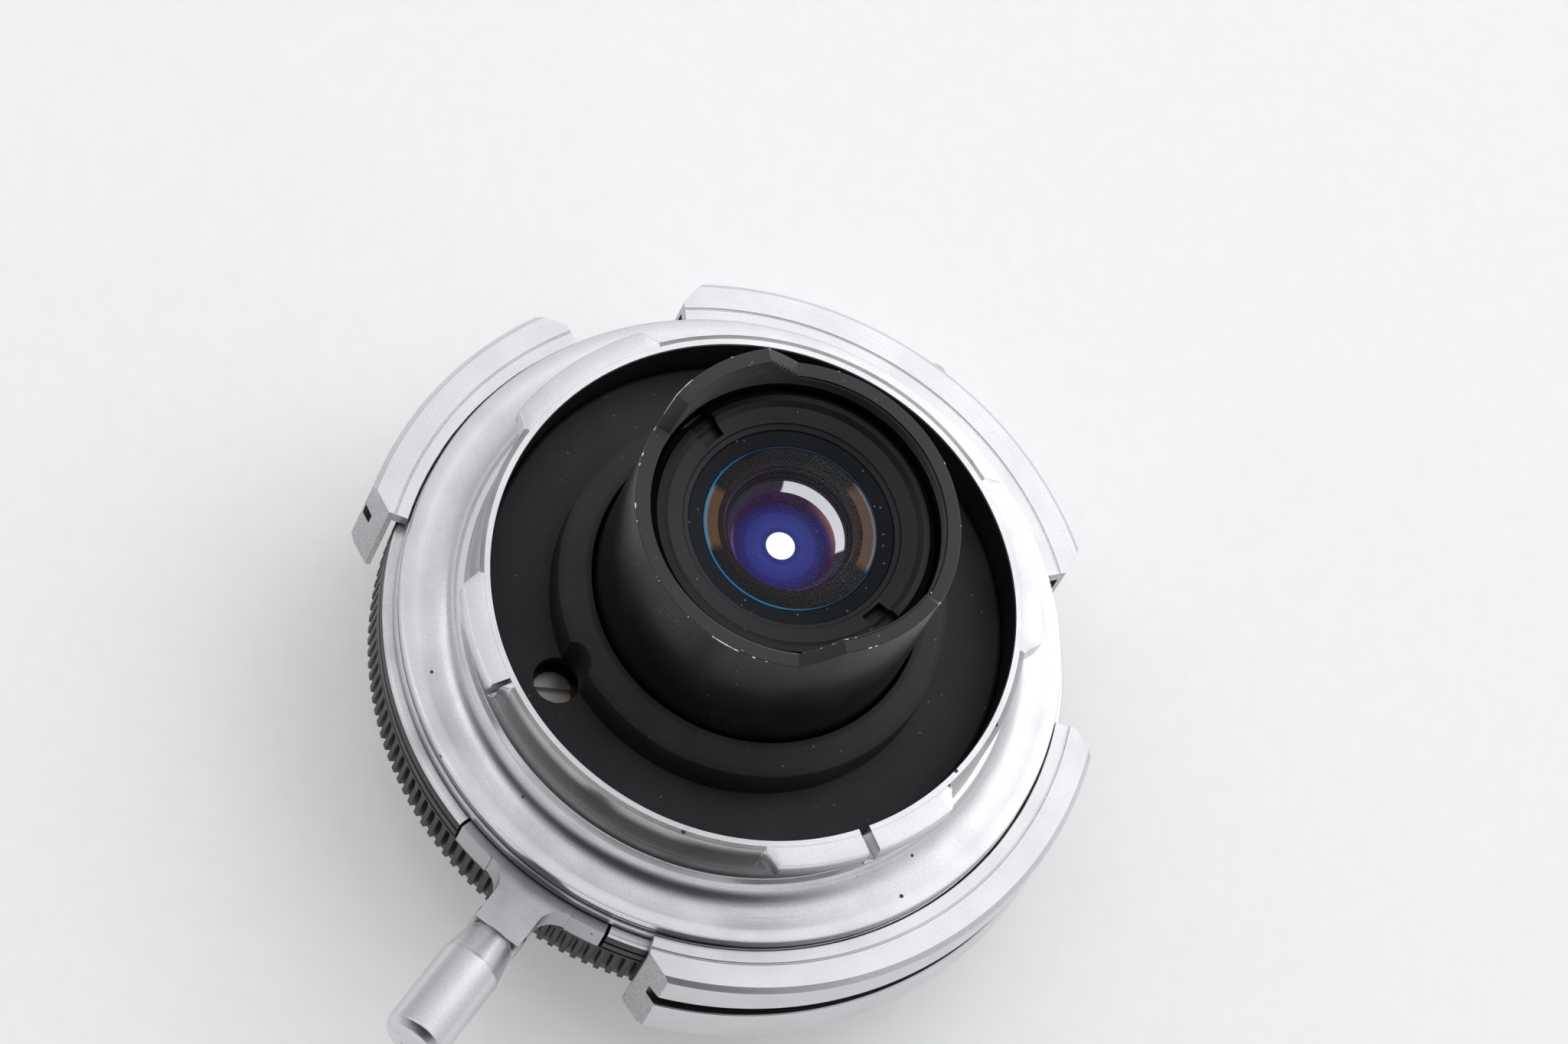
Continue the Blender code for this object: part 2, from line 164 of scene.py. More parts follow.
def inside(azimuth, start, end, ramp):
    """1 between start and end, 0 outside, with smooth ends ramp degrees wide."""
    half = (end - start) * 0.5
    from_end = half - abs(apart(azimuth, start + half))
    return smooth_step(from_end / ramp)


def around(count, *breaks):
    """Evenly spread azimuths, with a fine fan of extra ones at each (azimuth, half width) break."""
    spread = {round(360.0 * i / count, 4) for i in range(count)}
    for centre, half in breaks:
        for i in range(-6, 7):
            spread.add(round((centre + half * i / 6.0) % 360.0, 4))
    return sorted(spread)


def rounded(profile, size=0.1, steps=3):
    """The same closed profile with its corners eased, apart from points on the axis."""
    out = []
    points = [Vector(p) for p in profile]
    for i, corner in enumerate(points):
        before, after = points[i - 1], points[(i + 1) % len(points)]
        if corner.x == 0.0:
            out.append(tuple(corner))
            continue
        reach = min(size, 0.4 * (before - corner).length, 0.4 * (after - corner).length)
        a = corner + (before - corner).normalized() * reach
        b = corner + (after - corner).normalized() * reach
        for k in range(steps + 1):
            t = k / steps
            out.append(tuple(a * (1 - t) ** 2 + corner * 2 * t * (1 - t) + b * t * t))
    return out


def add_mesh(name, bm, materials, pick=None, crease=32.0):
    """Links bm as an object. pick gives a face's material from its radius, height, azimuth and normal."""
    bmesh.ops.recalc_face_normals(bm, faces=bm.faces)
    mesh = bpy.data.meshes.new(name)
    bm.to_mesh(mesh)
    bm.free()
    for mat in materials:
        mesh.materials.append(mat)
    if pick:
        for face in mesh.polygons:
            c = face.center / MM
            azimuth = math.degrees(math.atan2(c.y, c.x)) % 360.0
            face.material_index = pick(math.hypot(c.x, c.y), c.z, azimuth, face.normal)
    mesh.shade_smooth()
    mesh.set_sharp_from_angle(angle=math.radians(crease))
    obj = bpy.data.objects.new(name, mesh)
    bpy.context.scene.collection.objects.link(obj)
    return obj


def revolve(name, profile_at, azimuths, materials, pick=None, crease=32.0):
    """A closed profile that may change with azimuth, swept once round Z. A point at radius 0 is a pole."""
    bm = bmesh.new()
    first = profile_at(azimuths[0])
    poles = {k: bm.verts.new((0, 0, z * MM)) for k, (r, z) in enumerate(first) if r == 0.0}
    rings = []
    for azimuth in azimuths:
        profile = profile_at(azimuth)
        rings.append([poles[k] if k in poles else bm.verts.new(polar(r, azimuth, z))
                      for k, (r, z) in enumerate(profile)])
    count = len(first)
    spans = count - 1 if len(poles) == 2 else count
    for i, a in enumerate(rings):
        b = rings[(i + 1) % len(rings)]
        for k in range(spans):
            corners = dict.fromkeys((a[k], a[(k + 1) % count], b[(k + 1) % count], b[k]))
            if len(corners) > 2:
                bm.faces.new(list(corners))
    return add_mesh(name, bm, materials, pick, crease)


def turned(name, profile, materials, steps=192, ease=0.1, pick=None, crease=32.0):
    """A plain turned piece, its corners eased."""
    shape = rounded(profile, ease)
    return revolve(name, lambda azimuth: shape, around(steps), materials, pick, crease)


def soften(obj, width, segments=3, angle=35.0):
    """Eases the sharp edges with a bevel, so that they catch the light."""
    bevel = obj.modifiers.new("ease", "BEVEL")
    bevel.width = width * MM
    bevel.segments = segments
    bevel.limit_method = "ANGLE"
    bevel.angle_limit = math.radians(angle)
    bevel.harden_normals = True
    return obj


def slab(name, outline, low, high, materials):
    """A flat outline (x, y) with thickness."""
    bm = bmesh.new()
    bottom = [bm.verts.new((x * MM, y * MM, low * MM)) for x, y in outline]
    top = [bm.verts.new((x * MM, y * MM, high * MM)) for x, y in outline]
    bm.faces.new(bottom)
    bm.faces.new(top)
    for i in range(len(outline)):
        j = (i + 1) % len(outline)
        bm.faces.new((bottom[i], bottom[j], top[j], top[i]))
    return add_mesh(name, bm, materials)


def cut_away(obj, bm):
    """Takes the shape in bm out of obj for good."""
    bmesh.ops.recalc_face_normals(bm, faces=bm.faces)
    mesh = bpy.data.meshes.new("tool")
    bm.to_mesh(mesh)
    bm.free()
    tool = bpy.data.objects.new("tool", mesh)
    bpy.context.scene.collection.objects.link(tool)
    mod = obj.modifiers.new("cut", "BOOLEAN")
    mod.object = tool
    mod.solver = "EXACT"
    bpy.context.view_layer.update()
    done = bpy.data.meshes.new_from_object(obj.evaluated_get(bpy.context.evaluated_depsgraph_get()))
    obj.modifiers.clear()
    obj.data = done
    bpy.data.objects.remove(tool)


def place(obj, body, slot, *nodes):
    """Sets what the piece rides on and hides the CAD nodes it stands for. slot is not used."""
    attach(obj, body)
    if nodes:
        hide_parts(*nodes)
    return obj


# ---------------------------------------------------------------- material helpers
def node(tree, kind, inputs=None, **settings):
    made = tree.nodes.new("ShaderNode" + kind)
    for key, value in settings.items():
        setattr(made, key, value)
    for key, value in (inputs or {}).items():
        if isinstance(value, bpy.types.NodeSocket):
            tree.links.new(value, made.inputs[key])
        else:
            made.inputs[key].default_value = value
    return made


def maths(tree, operation, a, b=0.0, c=0.0):
    return node(tree, "Math", {0: a, 1: b, 2: c}, operation=operation).outputs[0]


def ramp(tree, value, *stops):
    """A ColorRamp: stops are (position, colour or grey level)."""
    made = node(tree, "ValToRGB", {"Fac": value})
    bar = made.color_ramp
    while len(bar.elements) < len(stops):
        bar.elements.new(0.5)
    for element, (position, colour) in zip(bar.elements, stops):
        element.position = position
        element.color = (colour, colour, colour, 1.0) if isinstance(colour, float) else (*colour, 1.0)
    return made.outputs["Color"]


def blend_colour(tree, factor, a, b, mode="MIX"):
    made = node(tree, "Mix", {0: factor}, data_type="RGBA", blend_type=mode)
    for key, value in ((6, a), (7, b)):
        if isinstance(value, bpy.types.NodeSocket):
            tree.links.new(value, made.inputs[key])
        else:
            made.inputs[key].default_value = (*value, 1.0)
    return made.outputs[2]


def start_material(name, roughness, metallic=0.0, coat=0.0, specular=0.5):
    mat = bpy.data.materials.new(name)
    mat.use_nodes = True
    shader = mat.node_tree.nodes["Principled BSDF"]
    shader.inputs["Roughness"].default_value = roughness
    shader.inputs["Metallic"].default_value = metallic
    shader.inputs["Coat Weight"].default_value = coat
    shader.inputs["Specular IOR Level"].default_value = specular
    return mat, mat.node_tree, shader


def turning(tree, axis="Z"):
    """Radius, azimuth (radians) and height in metres round the given axis."""
    place_in = node(tree, "TexCoord").outputs["Object"]
    xyz = node(tree, "SeparateXYZ", {0: place_in})
    along, u, v = {"Z": ("Z", "X", "Y"), "Y": ("Y", "X", "Z")}[axis]
    height = xyz.outputs[along]
    if axis == "Y":
        cross = maths(tree, "SUBTRACT", xyz.outputs[v], KNOB_Z * MM)
    else:
        cross = xyz.outputs[v]
    flat = node(tree, "CombineXYZ", {0: xyz.outputs[u], 1: cross})
    radius = node(tree, "VectorMath", {0: flat.outputs[0]}, operation="LENGTH").outputs["Value"]
    return place_in, radius, maths(tree, "ARCTAN2", cross, xyz.outputs[u]), height


def tool_marks(tree, radius, azimuth, height, pitch, drag=2.0):
    """Noise drawn out round the axis, as a lathe leaves it. pitch is in metres."""
    across = node(tree, "CombineXYZ", {0: maths(tree, "DIVIDE", radius, pitch),
                                       1: maths(tree, "DIVIDE", height, pitch),
                                       2: maths(tree, "MULTIPLY", azimuth, drag)})
    return node(tree, "TexNoise", {"Vector": across.outputs[0], "Scale": 1.0, "Detail": 3.0}).outputs["Fac"]


def specks(tree, place_in, size, share, seed=0.0):
    """Small round dots: 1 in a dot. size is their spacing in metres, share how many cells have one."""
    moved = node(tree, "VectorMath", {0: place_in, 1: (seed, seed * 0.7, seed * 1.3)}, operation="ADD")
    cells = node(tree, "TexVoronoi", {"Vector": moved.outputs[0], "Scale": 1.0 / size, "Randomness": 1.0})
    dot = maths(tree, "LESS_THAN", cells.outputs["Distance"], 0.17)
    chance = node(tree, "SeparateColor", {0: cells.outputs["Color"]}).outputs[0]
    return maths(tree, "MULTIPLY", dot, maths(tree, "LESS_THAN", chance, share))


def scratches(tree, place_in, size, turn, width, share):
    """Short straight scratches that run one way: 1 in a scratch."""
    stretch = (1.0 / size, 0.06 / size, 1.0 / size)
    turned_to = node(tree, "Mapping", {"Vector": place_in, "Rotation": turn, "Scale": stretch})
    noise = node(tree, "TexNoise", {"Vector": turned_to.outputs[0], "Scale": 1.0, "Detail": 1.0})
    lines = noise.outputs["Fac"]
    close = maths(tree, "LESS_THAN", maths(tree, "ABSOLUTE", maths(tree, "SUBTRACT", lines, 0.5)), width)
    patch = node(tree, "TexNoise", {"Vector": place_in, "Scale": 0.12 / size, "Detail": 2.0}).outputs["Fac"]
    return maths(tree, "MULTIPLY", close, maths(tree, "GREATER_THAN", patch, share))


def add_bump(tree, shader, height, strength, distance):
    bump = node(tree, "Bump", {"Height": height, "Strength": strength, "Distance": distance})
    tree.links.new(bump.outputs[0], shader.inputs["Normal"])


def darker(colour, share):
    return tuple(c * share for c in colour)


def bright_metal(name, colour, roughness, pitch=0.00006, marks=0.25, pits=0.04, axis="Z", grime=0.25,
                 aniso=0.3):
    """Bare or chromed metal with lathe marks, smudges, fine speckle and a few dark pits."""
    mat, tree, shader = start_material(name, roughness, metallic=1.0)
    place_in, radius, azimuth, height = turning(tree, axis)
    lines = tool_marks(tree, radius, azimuth, height, pitch)
    smudge = node(tree, "TexNoise", {"Vector": place_in, "Scale": 260.0, "Detail": 4.0}).outputs["Fac"]
    grain = node(tree, "TexNoise", {"Vector": place_in, "Scale": 9000.0, "Detail": 2.0}).outputs["Fac"]
    dark = specks(tree, place_in, 0.0011, pits)
    rough = maths(tree, "ADD", maths(tree, "MULTIPLY", smudge, 0.16), maths(tree, "MULTIPLY", lines, 0.10))
    rough = maths(tree, "ADD", rough, roughness - 0.13)
    tree.links.new(maths(tree, "MULTIPLY_ADD", dark, 0.3, rough), shader.inputs["Roughness"])
    shade = ramp(tree, grain, (0.3, darker(colour, 0.86)), (0.6, colour))
    dirty = maths(tree, "MULTIPLY", ramp(tree, smudge, (0.45, 0.0), (0.75, 1.0)), grime)
    shade = blend_colour(tree, dirty, shade, darker(colour, 0.6))
    shade = blend_colour(tree, dark, shade, (0.10, 0.095, 0.09))
    tree.links.new(shade, shader.inputs["Base Color"])
    shader.inputs["Anisotropic"].default_value = aniso
    tangent = node(tree, "Tangent", direction_type="RADIAL", axis=axis)
    tree.links.new(tangent.outputs[0], shader.inputs["Tangent"])
    relief = maths(tree, "MULTIPLY_ADD", grain, 0.5, lines)
    add_bump(tree, shader, maths(tree, "SUBTRACT", relief, dark), marks, 0.00002)
    return mat


def rough_cut_metal(name, colour, roughness, slant):
    """An end face left by a saw or mill: coarse slanting marks."""
    mat, tree, shader = start_material(name, roughness, metallic=1.0)
    place_in = node(tree, "TexCoord").outputs["Object"]
    slanted = node(tree, "Mapping", {"Vector": place_in, "Rotation": slant, "Scale": (9000.0, 900.0, 9000.0)})
    marks = node(tree, "TexNoise", {"Vector": slanted.outputs[0], "Scale": 1.0, "Detail": 4.0}).outputs["Fac"]
    shade = ramp(tree, marks, (0.3, darker(colour, 0.45)), (0.62, colour))
    tree.links.new(shade, shader.inputs["Base Color"])
    tree.links.new(maths(tree, "MULTIPLY_ADD", marks, 0.3, roughness - 0.1), shader.inputs["Roughness"])
    add_bump(tree, shader, marks, 0.6, 0.00006)
    return mat


def black_finish(name, colour, roughness, marks=0.2, dust=0.03, scratch=0.0, specular=0.4, dusty=0.4):
    """Painted or anodised black with faint lathe marks, dust specks and light scratches."""
    mat, tree, shader = start_material(name, roughness, specular=specular)
    place_in, radius, azimuth, height = turning(tree)
    lines = tool_marks(tree, radius, azimuth, height, 0.00008)
    cloud = node(tree, "TexNoise", {"Vector": place_in, "Scale": 220.0, "Detail": 5.0}).outputs["Fac"]
    fine = node(tree, "TexNoise", {"Vector": place_in, "Scale": 12000.0, "Detail": 2.0}).outputs["Fac"]
    spots = specks(tree, place_in, 0.00045, dust, 0.3)
    shade = ramp(tree, fine, (0.25, darker(colour, 0.75)), (0.75, darker(colour, 1.2)))
    clouded = maths(tree, "MULTIPLY", ramp(tree, cloud, (0.45, 0.0), (0.8, 1.0)), dusty)
    shade = blend_colour(tree, clouded, shade, tuple(c * 2.0 + 0.01 for c in colour))
    shade = blend_colour(tree, maths(tree, "MULTIPLY", spots, 0.5), shade, (0.35, 0.35, 0.36))
    if scratch:
        lines_seen = scratches(tree, place_in, 0.0011, (0.4, 0.3, 0.9), 0.012, 0.66)
        shade = blend_colour(tree, maths(tree, "MULTIPLY", lines_seen, scratch), shade, (0.30, 0.30, 0.31))
    tree.links.new(shade, shader.inputs["Base Color"])
    tree.links.new(maths(tree, "MULTIPLY_ADD", cloud, 0.25, roughness - 0.12), shader.inputs["Roughness"])
    add_bump(tree, shader, maths(tree, "MULTIPLY_ADD", fine, 0.6, lines), marks, 0.00002)
    return mat


def sector_share(tree, azimuth, sectors, ease):
    """1 inside the (start, end) sectors in degrees. ease is the width of their edges in radians."""
    lit = 0.0
    for start, end in sectors:
        middle, half = math.radians((start + end) * 0.5), math.radians((end - start) * 0.5)
        off = maths(tree, "ARCCOSINE", maths(tree, "COSINE", maths(tree, "SUBTRACT", azimuth, middle)))
        edge = maths(tree, "DIVIDE", maths(tree, "SUBTRACT", half, off), ease)
        lit = maths(tree, "MAXIMUM", lit, maths(tree, "MINIMUM", maths(tree, "MAXIMUM", edge, 0.0), 1.0))
    return lit


def painted_reflection_material(name, stops, low, high, gloss=0.15, glow=0.0, sectors=(), other=None, ease=0.04):
    """A surface with painted reflections, glowing by glow: colour by radius in mm. Outside the (start, end)
    sectors it shows other.
    """
    mat, tree, shader = start_material(name, gloss, specular=0.06)
    place_in, radius, azimuth, _ = turning(tree)
    wander = node(tree, "TexNoise", {"Vector": place_in, "Scale": 900.0, "Detail": 3.0}).outputs["Fac"]
    where = maths(tree, "DIVIDE", maths(tree, "SUBTRACT", radius, low * MM), (high - low) * MM)
    colour = ramp(tree, where, *[((r - low) / (high - low), c) for r, c in stops])
    if sectors:
        uneven = maths(tree, "MULTIPLY_ADD", wander, 0.12, maths(tree, "ADD", azimuth, -0.06))
        colour = blend_colour(tree, sector_share(tree, uneven, sectors, ease), other, colour)
    dust = specks(tree, place_in, 0.0003, 0.02, 0.7)
    colour = blend_colour(tree, maths(tree, "MULTIPLY", dust, 0.3), colour, (0.4, 0.4, 0.45))
    tree.links.new(colour, shader.inputs["Base Color"])
    if glow:
        tree.links.new(colour, shader.inputs["Emission Color"])
        shader.inputs["Emission Strength"].default_value = glow
    tree.links.new(maths(tree, "MULTIPLY_ADD", wander, 0.1, gloss), shader.inputs["Roughness"])
    return mat


def clear_glass(name, tint, alpha):
    """Thin clear glass with a film of dust. alpha is how much of its own tint shows."""
    mat, tree, shader = start_material(name, 0.03, specular=0.8)
    shader.inputs["Alpha"].default_value = alpha
    place_in = node(tree, "TexCoord").outputs["Object"]
    film = node(tree, "TexNoise", {"Vector": place_in, "Scale": 500.0, "Detail": 4.0}).outputs["Fac"]
    shade = ramp(tree, film, (0.3, darker(tint, 0.7)), (0.7, tint))
    tree.links.new(blend_colour(tree, specks(tree, place_in, 0.0004, 0.06), shade, (0.7, 0.72, 0.8)),
                   shader.inputs["Base Color"])
    tree.links.new(maths(tree, "MULTIPLY_ADD", film, 0.06, 0.01), shader.inputs["Roughness"])
    return mat


CHROME = bright_metal("satin_chrome_turned", (0.80, 0.80, 0.82), 0.30, pitch=0.00005, marks=0.22, pits=0.02)
GRIP_CHROME = bright_metal("satin_chrome_grip", (0.76, 0.76, 0.78), 0.30, pitch=0.00012, marks=0.2, pits=0.01,
                           grime=0.15)
KNOB_CHROME = bright_metal("satin_chrome_knob", (0.74, 0.74, 0.76), 0.30, pitch=0.00012, marks=0.3, pits=0.0,
                           axis="Y", grime=0.1)
LEVER_CHROME = bright_metal("satin_chrome_lever", (0.54, 0.54, 0.56), 0.34, pitch=0.0003, marks=0.3,
                            pits=0.03, grime=0.5, aniso=0.0)
LEDGE_CHROME = bright_metal("speckled_ledge", (0.72, 0.72, 0.74), 0.34, pitch=0.0002, marks=0.5, pits=0.08,
                            grime=0.5)
WORN_STRIP = bright_metal("worn_tube_strip", (0.40, 0.39, 0.39), 0.42, pitch=0.0001, marks=0.9, pits=0.3,
                          grime=0.8)
# the tube's wall: the same chrome painted darker and warmer, a painted reflection of the dark surroundings
WALL_CHROME_PAINTED_DARK = bright_metal("tube_wall_chrome_painted_reflection", (0.50, 0.48, 0.485), 0.30, pitch=0.0001, pits=0.03, grime=0.5)
MILLED = rough_cut_metal("milled_end", (0.66, 0.66, 0.68), 0.36, (0.6, 0.5, 0.4))
STEEL = bright_metal("turned_steel_fine", (0.56, 0.54, 0.52), 0.34, pits=0.0)
BRASS = bright_metal("barrel_brass_turned", (0.62, 0.47, 0.24), 0.36, pits=0.02)
BLADE = bright_metal("blade_steel_dark", (0.07, 0.07, 0.075), 0.42, pits=0.0)
ANODISED = black_finish("black_anodised_turned", (0.020, 0.020, 0.021), 0.38, marks=0.3, dust=0.02)
BAND = black_finish("grey_band", (0.035, 0.035, 0.036), 0.42, marks=0.3, dust=0.03)
RIB_BLACK = black_finish("rib_black", (0.016, 0.016, 0.016), 0.40, marks=0.15, dust=0.01)
BAFFLE = black_finish("baffle_charcoal", (0.038, 0.038, 0.043), 0.62, marks=0.25, dust=0.025, specular=0.3)
SHROUD = black_finish("shroud_black", (0.006, 0.006, 0.0062), 0.32, marks=0.12, dust=0.012, scratch=0.12,
                      dusty=0.2)
RIM = black_finish("rim_grey", (0.038, 0.038, 0.041), 0.5, marks=0.3, dust=0.05)
RING_BLACK = black_finish("retaining_black", (0.013, 0.013, 0.0145), 0.42, marks=0.35, dust=0.015,
                          specular=0.3)
# the thread's crests: the same black painted lighter, a painted highlight
THREAD_CREST_HIGHLIGHT = black_finish("thread_crest_painted_highlight", (0.075, 0.075, 0.078), 0.42, marks=0.2, dust=0.02)
DUSTY_NAVY = black_finish("dusty_lens_edge", (0.005, 0.007, 0.011), 0.35, marks=0.1, dust=0.22, specular=0.12)
INNER_BLACK = black_finish("inner_wall_black", (0.008, 0.008, 0.008), 0.55, marks=0.3, dust=0.02)
BARE = bright_metal("bare_chip", (0.92, 0.92, 0.93), 0.45, pits=0.0, grime=0.0, aniso=0.0)
BEAD = black_finish("bead_ivory", (0.62, 0.61, 0.58), 0.25, dust=0.0, specular=0.6)

GLASS = clear_glass("rear_glass_clear", (0.015, 0.02, 0.04), 0.07)
FRONT_GLASS = clear_glass("front_glass_clear", (0.30, 0.22, 0.55), 0.22)
INNER_GLASS = clear_glass("inner_glass_clear", (0.35, 0.28, 0.50), 0.18)


# ---------------------------------------------------------------- bayonet mount
def lug_at(azimuth):
    half = LUG_RAMP * 0.5
    return max(inside(azimuth, start - half, end + half, LUG_RAMP) for start, end in LUGS)


def slot_at(azimuth, slot):
    return inside(azimuth, slot[0] - slot[1], slot[0] + slot[1], 0.12)


# the tube's foot, the hollow curve out of it, and the flat flange with a line round its edge
BAYONET_FOOT = [
    (TUBE_R, TUBE_FOOT_Z + 0.15), (TUBE_R, TUBE_FOOT_Z), (20.75, 1.48), (21.1, 1.42), (21.2, 1.3),
    (21.32, 1.0), (21.55, 0.66), (21.85, 0.42), (22.2, 0.25), (22.6, 0.13), (23.1, 0.05), (23.6, 0.01),
    (24.0, 0.0),
    (FLANGE_R - 0.22, 0.0), (FLANGE_R - 0.06, -0.05), (FLANGE_R, -0.2),
    (FLANGE_R, -0.62), (FLANGE_R - 0.08, -0.68), (FLANGE_R - 0.08, -0.76), (FLANGE_R, -0.82),
    (FLANGE_R, FLANGE_FRONT + 0.02), (FLANGE_R - 0.02, FLANGE_FRONT), (BORE_R, FLANGE_FRONT)]


def bayonet_profile(azimuth):
    lug = lug_at(azimuth)
    wide = TUBE_R + (LUG_R - TUBE_R) * lug
    top = LUG_TOP - SLOT_DEPTH * slot_at(azimuth, LUG_SLOT)
    outer_top = top - SLOT_DEPTH * slot_at(azimuth, LUG_END_SLOT) * (1.0 - slot_at(azimuth, LUG_SLOT))
    under = min(LUG_UNDER, outer_top - 0.4)
    rim = [(BORE_R, 1.0), (BORE_R, top - 0.22), (BORE_R + 0.03, top - 0.08), (BORE_R + 0.12, top),
           (LUG_TOP_IN, top)]
    lug_edge = [
        (LUG_TOP_IN + 0.02, min(top - 0.02, outer_top)), (wide - 0.22, outer_top - 0.02),
        (wide - 0.07, outer_top - 0.06), (wide, outer_top - 0.22), (wide, under + 0.1),
        (wide - 0.06 * lug, under), (TUBE_R, under - 0.12)]
    fine_line = [(TUBE_R - inset, TUBE_LINE_Z + z) for inset, z in (
        (0.0, 0.18), (0.0, 0.12), (0.07, 0.06), (0.07, -0.06), (0.0, -0.12), (0.0, -0.18))]
    return rim + lug_edge + fine_line + BAYONET_FOOT


def bayonet_material(radius, z, azimuth, normal):
    """0 chrome, 1 black bore, 2 worn strip along the rim between lugs, 3 tube wall, whose chrome is darkened
    and warmed as a painted reflection of dark surroundings.
    """
    if radius < BORE_R + 0.02:
        return 1
    if z > 4.0 and LUG_TOP_IN < radius < TUBE_R - 0.05 and lug_at(azimuth) < 0.15 and normal.z > 0.7:
        return 2
    if z > TUBE_FOOT_Z - 0.1 and TUBE_R - 0.12 < radius < TUBE_R + 0.03 and abs(normal.z) < 0.5:
        return 3
    return 0


lug_breaks = [(edge, LUG_RAMP * 0.55) for pair in LUGS for edge in pair]
slot_breaks = [(slot[0] + side * slot[1], 0.14) for slot in (LUG_SLOT, LUG_END_SLOT) for side in (-1, 1)]
place(revolve("bayonet", bayonet_profile, around(360, *lug_breaks, *slot_breaks),
              [CHROME, INNER_BLACK, WORN_STRIP, WALL_CHROME_PAINTED_DARK], bayonet_material, crease=40.0),
      "mount", "satin_chrome", "bayonet_mount")


# ---------------------------------------------------------------- grip ring: three lands on a thin disc
def land(name, start, end, steps):
    """One raised land: its profile swept from start to end, with the ends chamfered towards the rim."""
    outer = [(GRIP_BEND_R, GRIP_FRONT), (GRIP_R - 0.45, GRIP_FRONT), (GRIP_R, GRIP_FRONT + 0.45),
             (GRIP_R, GROOVE_FRONT - 0.12), (GRIP_R - 0.12, GROOVE_FRONT), (GROOVE_R, GROOVE_FRONT + 0.08),
             (GROOVE_R, GROOVE_REAR - 0.08), (GRIP_R - 0.12, GROOVE_REAR), (GRIP_R, GROOVE_REAR + 0.12),
             (GRIP_R, GRIP_REAR - 0.4), (GRIP_R - 0.38, GRIP_REAR), (GRIP_BEND_R, GRIP_REAR)]
    inner = [(26.5, GRIP_REAR), (26.45, GRIP_REAR - 0.07), (26.37, GRIP_REAR - 0.07), (26.32, GRIP_REAR),
             (25.4, GRIP_REAR), (25.35, GRIP_REAR - 0.05), (25.35, DISC_FRONT), (GRIP_BORE, DISC_FRONT),
             (GRIP_BORE, GRIP_FRONT)]
    profile = outer + inner
    bm = bmesh.new()
    columns = []
    for i in range(steps + 1):
        column = []
        for radius, z in profile:
            cut = GRIP_CHAMFER * max(0.0, radius - GRIP_BEND_R) / (GRIP_R + 0.1 - GRIP_BEND_R)
            azimuth = start + cut + (end - start - 2.0 * cut) * i / steps
            column.append(bm.verts.new(polar(radius, azimuth, z)))
        columns.append(column)
    count = len(profile)
    for a, b in zip(columns, columns[1:]):
        for k in range(count):
            bm.faces.new((a[k], a[(k + 1) % count], b[(k + 1) % count], b[k]))
    for column in (columns[0], columns[-1]):
        for corners in (column[:len(outer)], column[len(outer) - 1:] + column[:1]):
            bm.faces.new(corners).material_index = 1
    obj = add_mesh(name, bm, [GRIP_CHROME, MILLED, ANODISED])
    for face in obj.data.polygons:
        c = face.center / MM
        radius = math.hypot(c.x, c.y)
        # the groove's faces are given the black anodised finish as painted shade
        groove_painted_shade = GROOVE_FRONT + 0.01 < c.z < GROOVE_REAR - 0.01 and GROOVE_R - 0.1 < radius < GRIP_R - 0.3
        if face.material_index == 0 and groove_painted_shade:
            face.material_index = 2
    return soften(obj, 0.06, 2)


for number, (start, end) in enumerate(GRIP_LANDS, 1):
    piece = land("grip_land_%d" % number, start, end, int((end - start) * 1.2))
    place(piece, "mount", "satin_chrome")
    if number == 1:
        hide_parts("grip_ring")
disc = [(25.25, -1.3), (25.3, DISC_FRONT + 0.05), (25.25, DISC_FRONT), (FOCUS_BORE, DISC_FRONT),
        (FOCUS_BORE, -1.3)]
place(turned("grip_disc", disc, [LEDGE_CHROME]), "mount", "satin_chrome")


# ---------------------------------------------------------------- focusing ring, lever and knob
def focus_profile(azimuth):
    """Its rim steps in where the lever's arms lie in it."""
    pocket = inside(azimuth, LEVER_ARMS[0] - 0.6, LEVER_ARMS[1] + 0.6, 0.15)
    wall = FOCUS_R - 1.35 * pocket
    skin = 0.15 * (1.0 - pocket)
    return [(FOCUS_BORE, FOCUS_REAR), (24.3, FOCUS_REAR), (wall - 0.36, FOCUS_REAR - 0.01),
            (wall - 0.12, FOCUS_REAR - 0.08), (wall, FOCUS_REAR - 0.36), (wall, -3.72), (wall - skin, -3.80),
            (wall - skin, -3.98), (wall, -4.06), (wall, FOCUS_FRONT + 0.15), (wall - skin, FOCUS_FRONT),
            (SLEEVE_R, FOCUS_FRONT), (SLEEVE_R, SLEEVE_FRONT), (FOCUS_BORE, SLEEVE_FRONT)]


def focus_material(radius, z, azimuth, normal):
    """0 chrome ledge, 1 black, 2 grey band along its front edge."""
    if z > FOCUS_REAR - 0.3 and radius > 24.0:
        return 0
    return 2 if z < -4.02 and radius > 24.0 else 1


pocket_ends = [(LEVER_ARMS[0] - 0.5, 0.2), (LEVER_ARMS[1] + 0.5, 0.2)]
place(revolve("focus_ring_turned", focus_profile, around(256, *pocket_ends), [LEDGE_CHROME, ANODISED, BAND],
              focus_material), "focus", "satin_chrome", "focus_ring")


def arc_points(radius, start, end, steps, centre=(0.0, 0.0)):
    angles = [math.radians(start + (end - start) * i / steps) for i in range(steps + 1)]
    return [(centre[0] + radius * math.cos(a), centre[1] + radius * math.sin(a)) for a in angles]


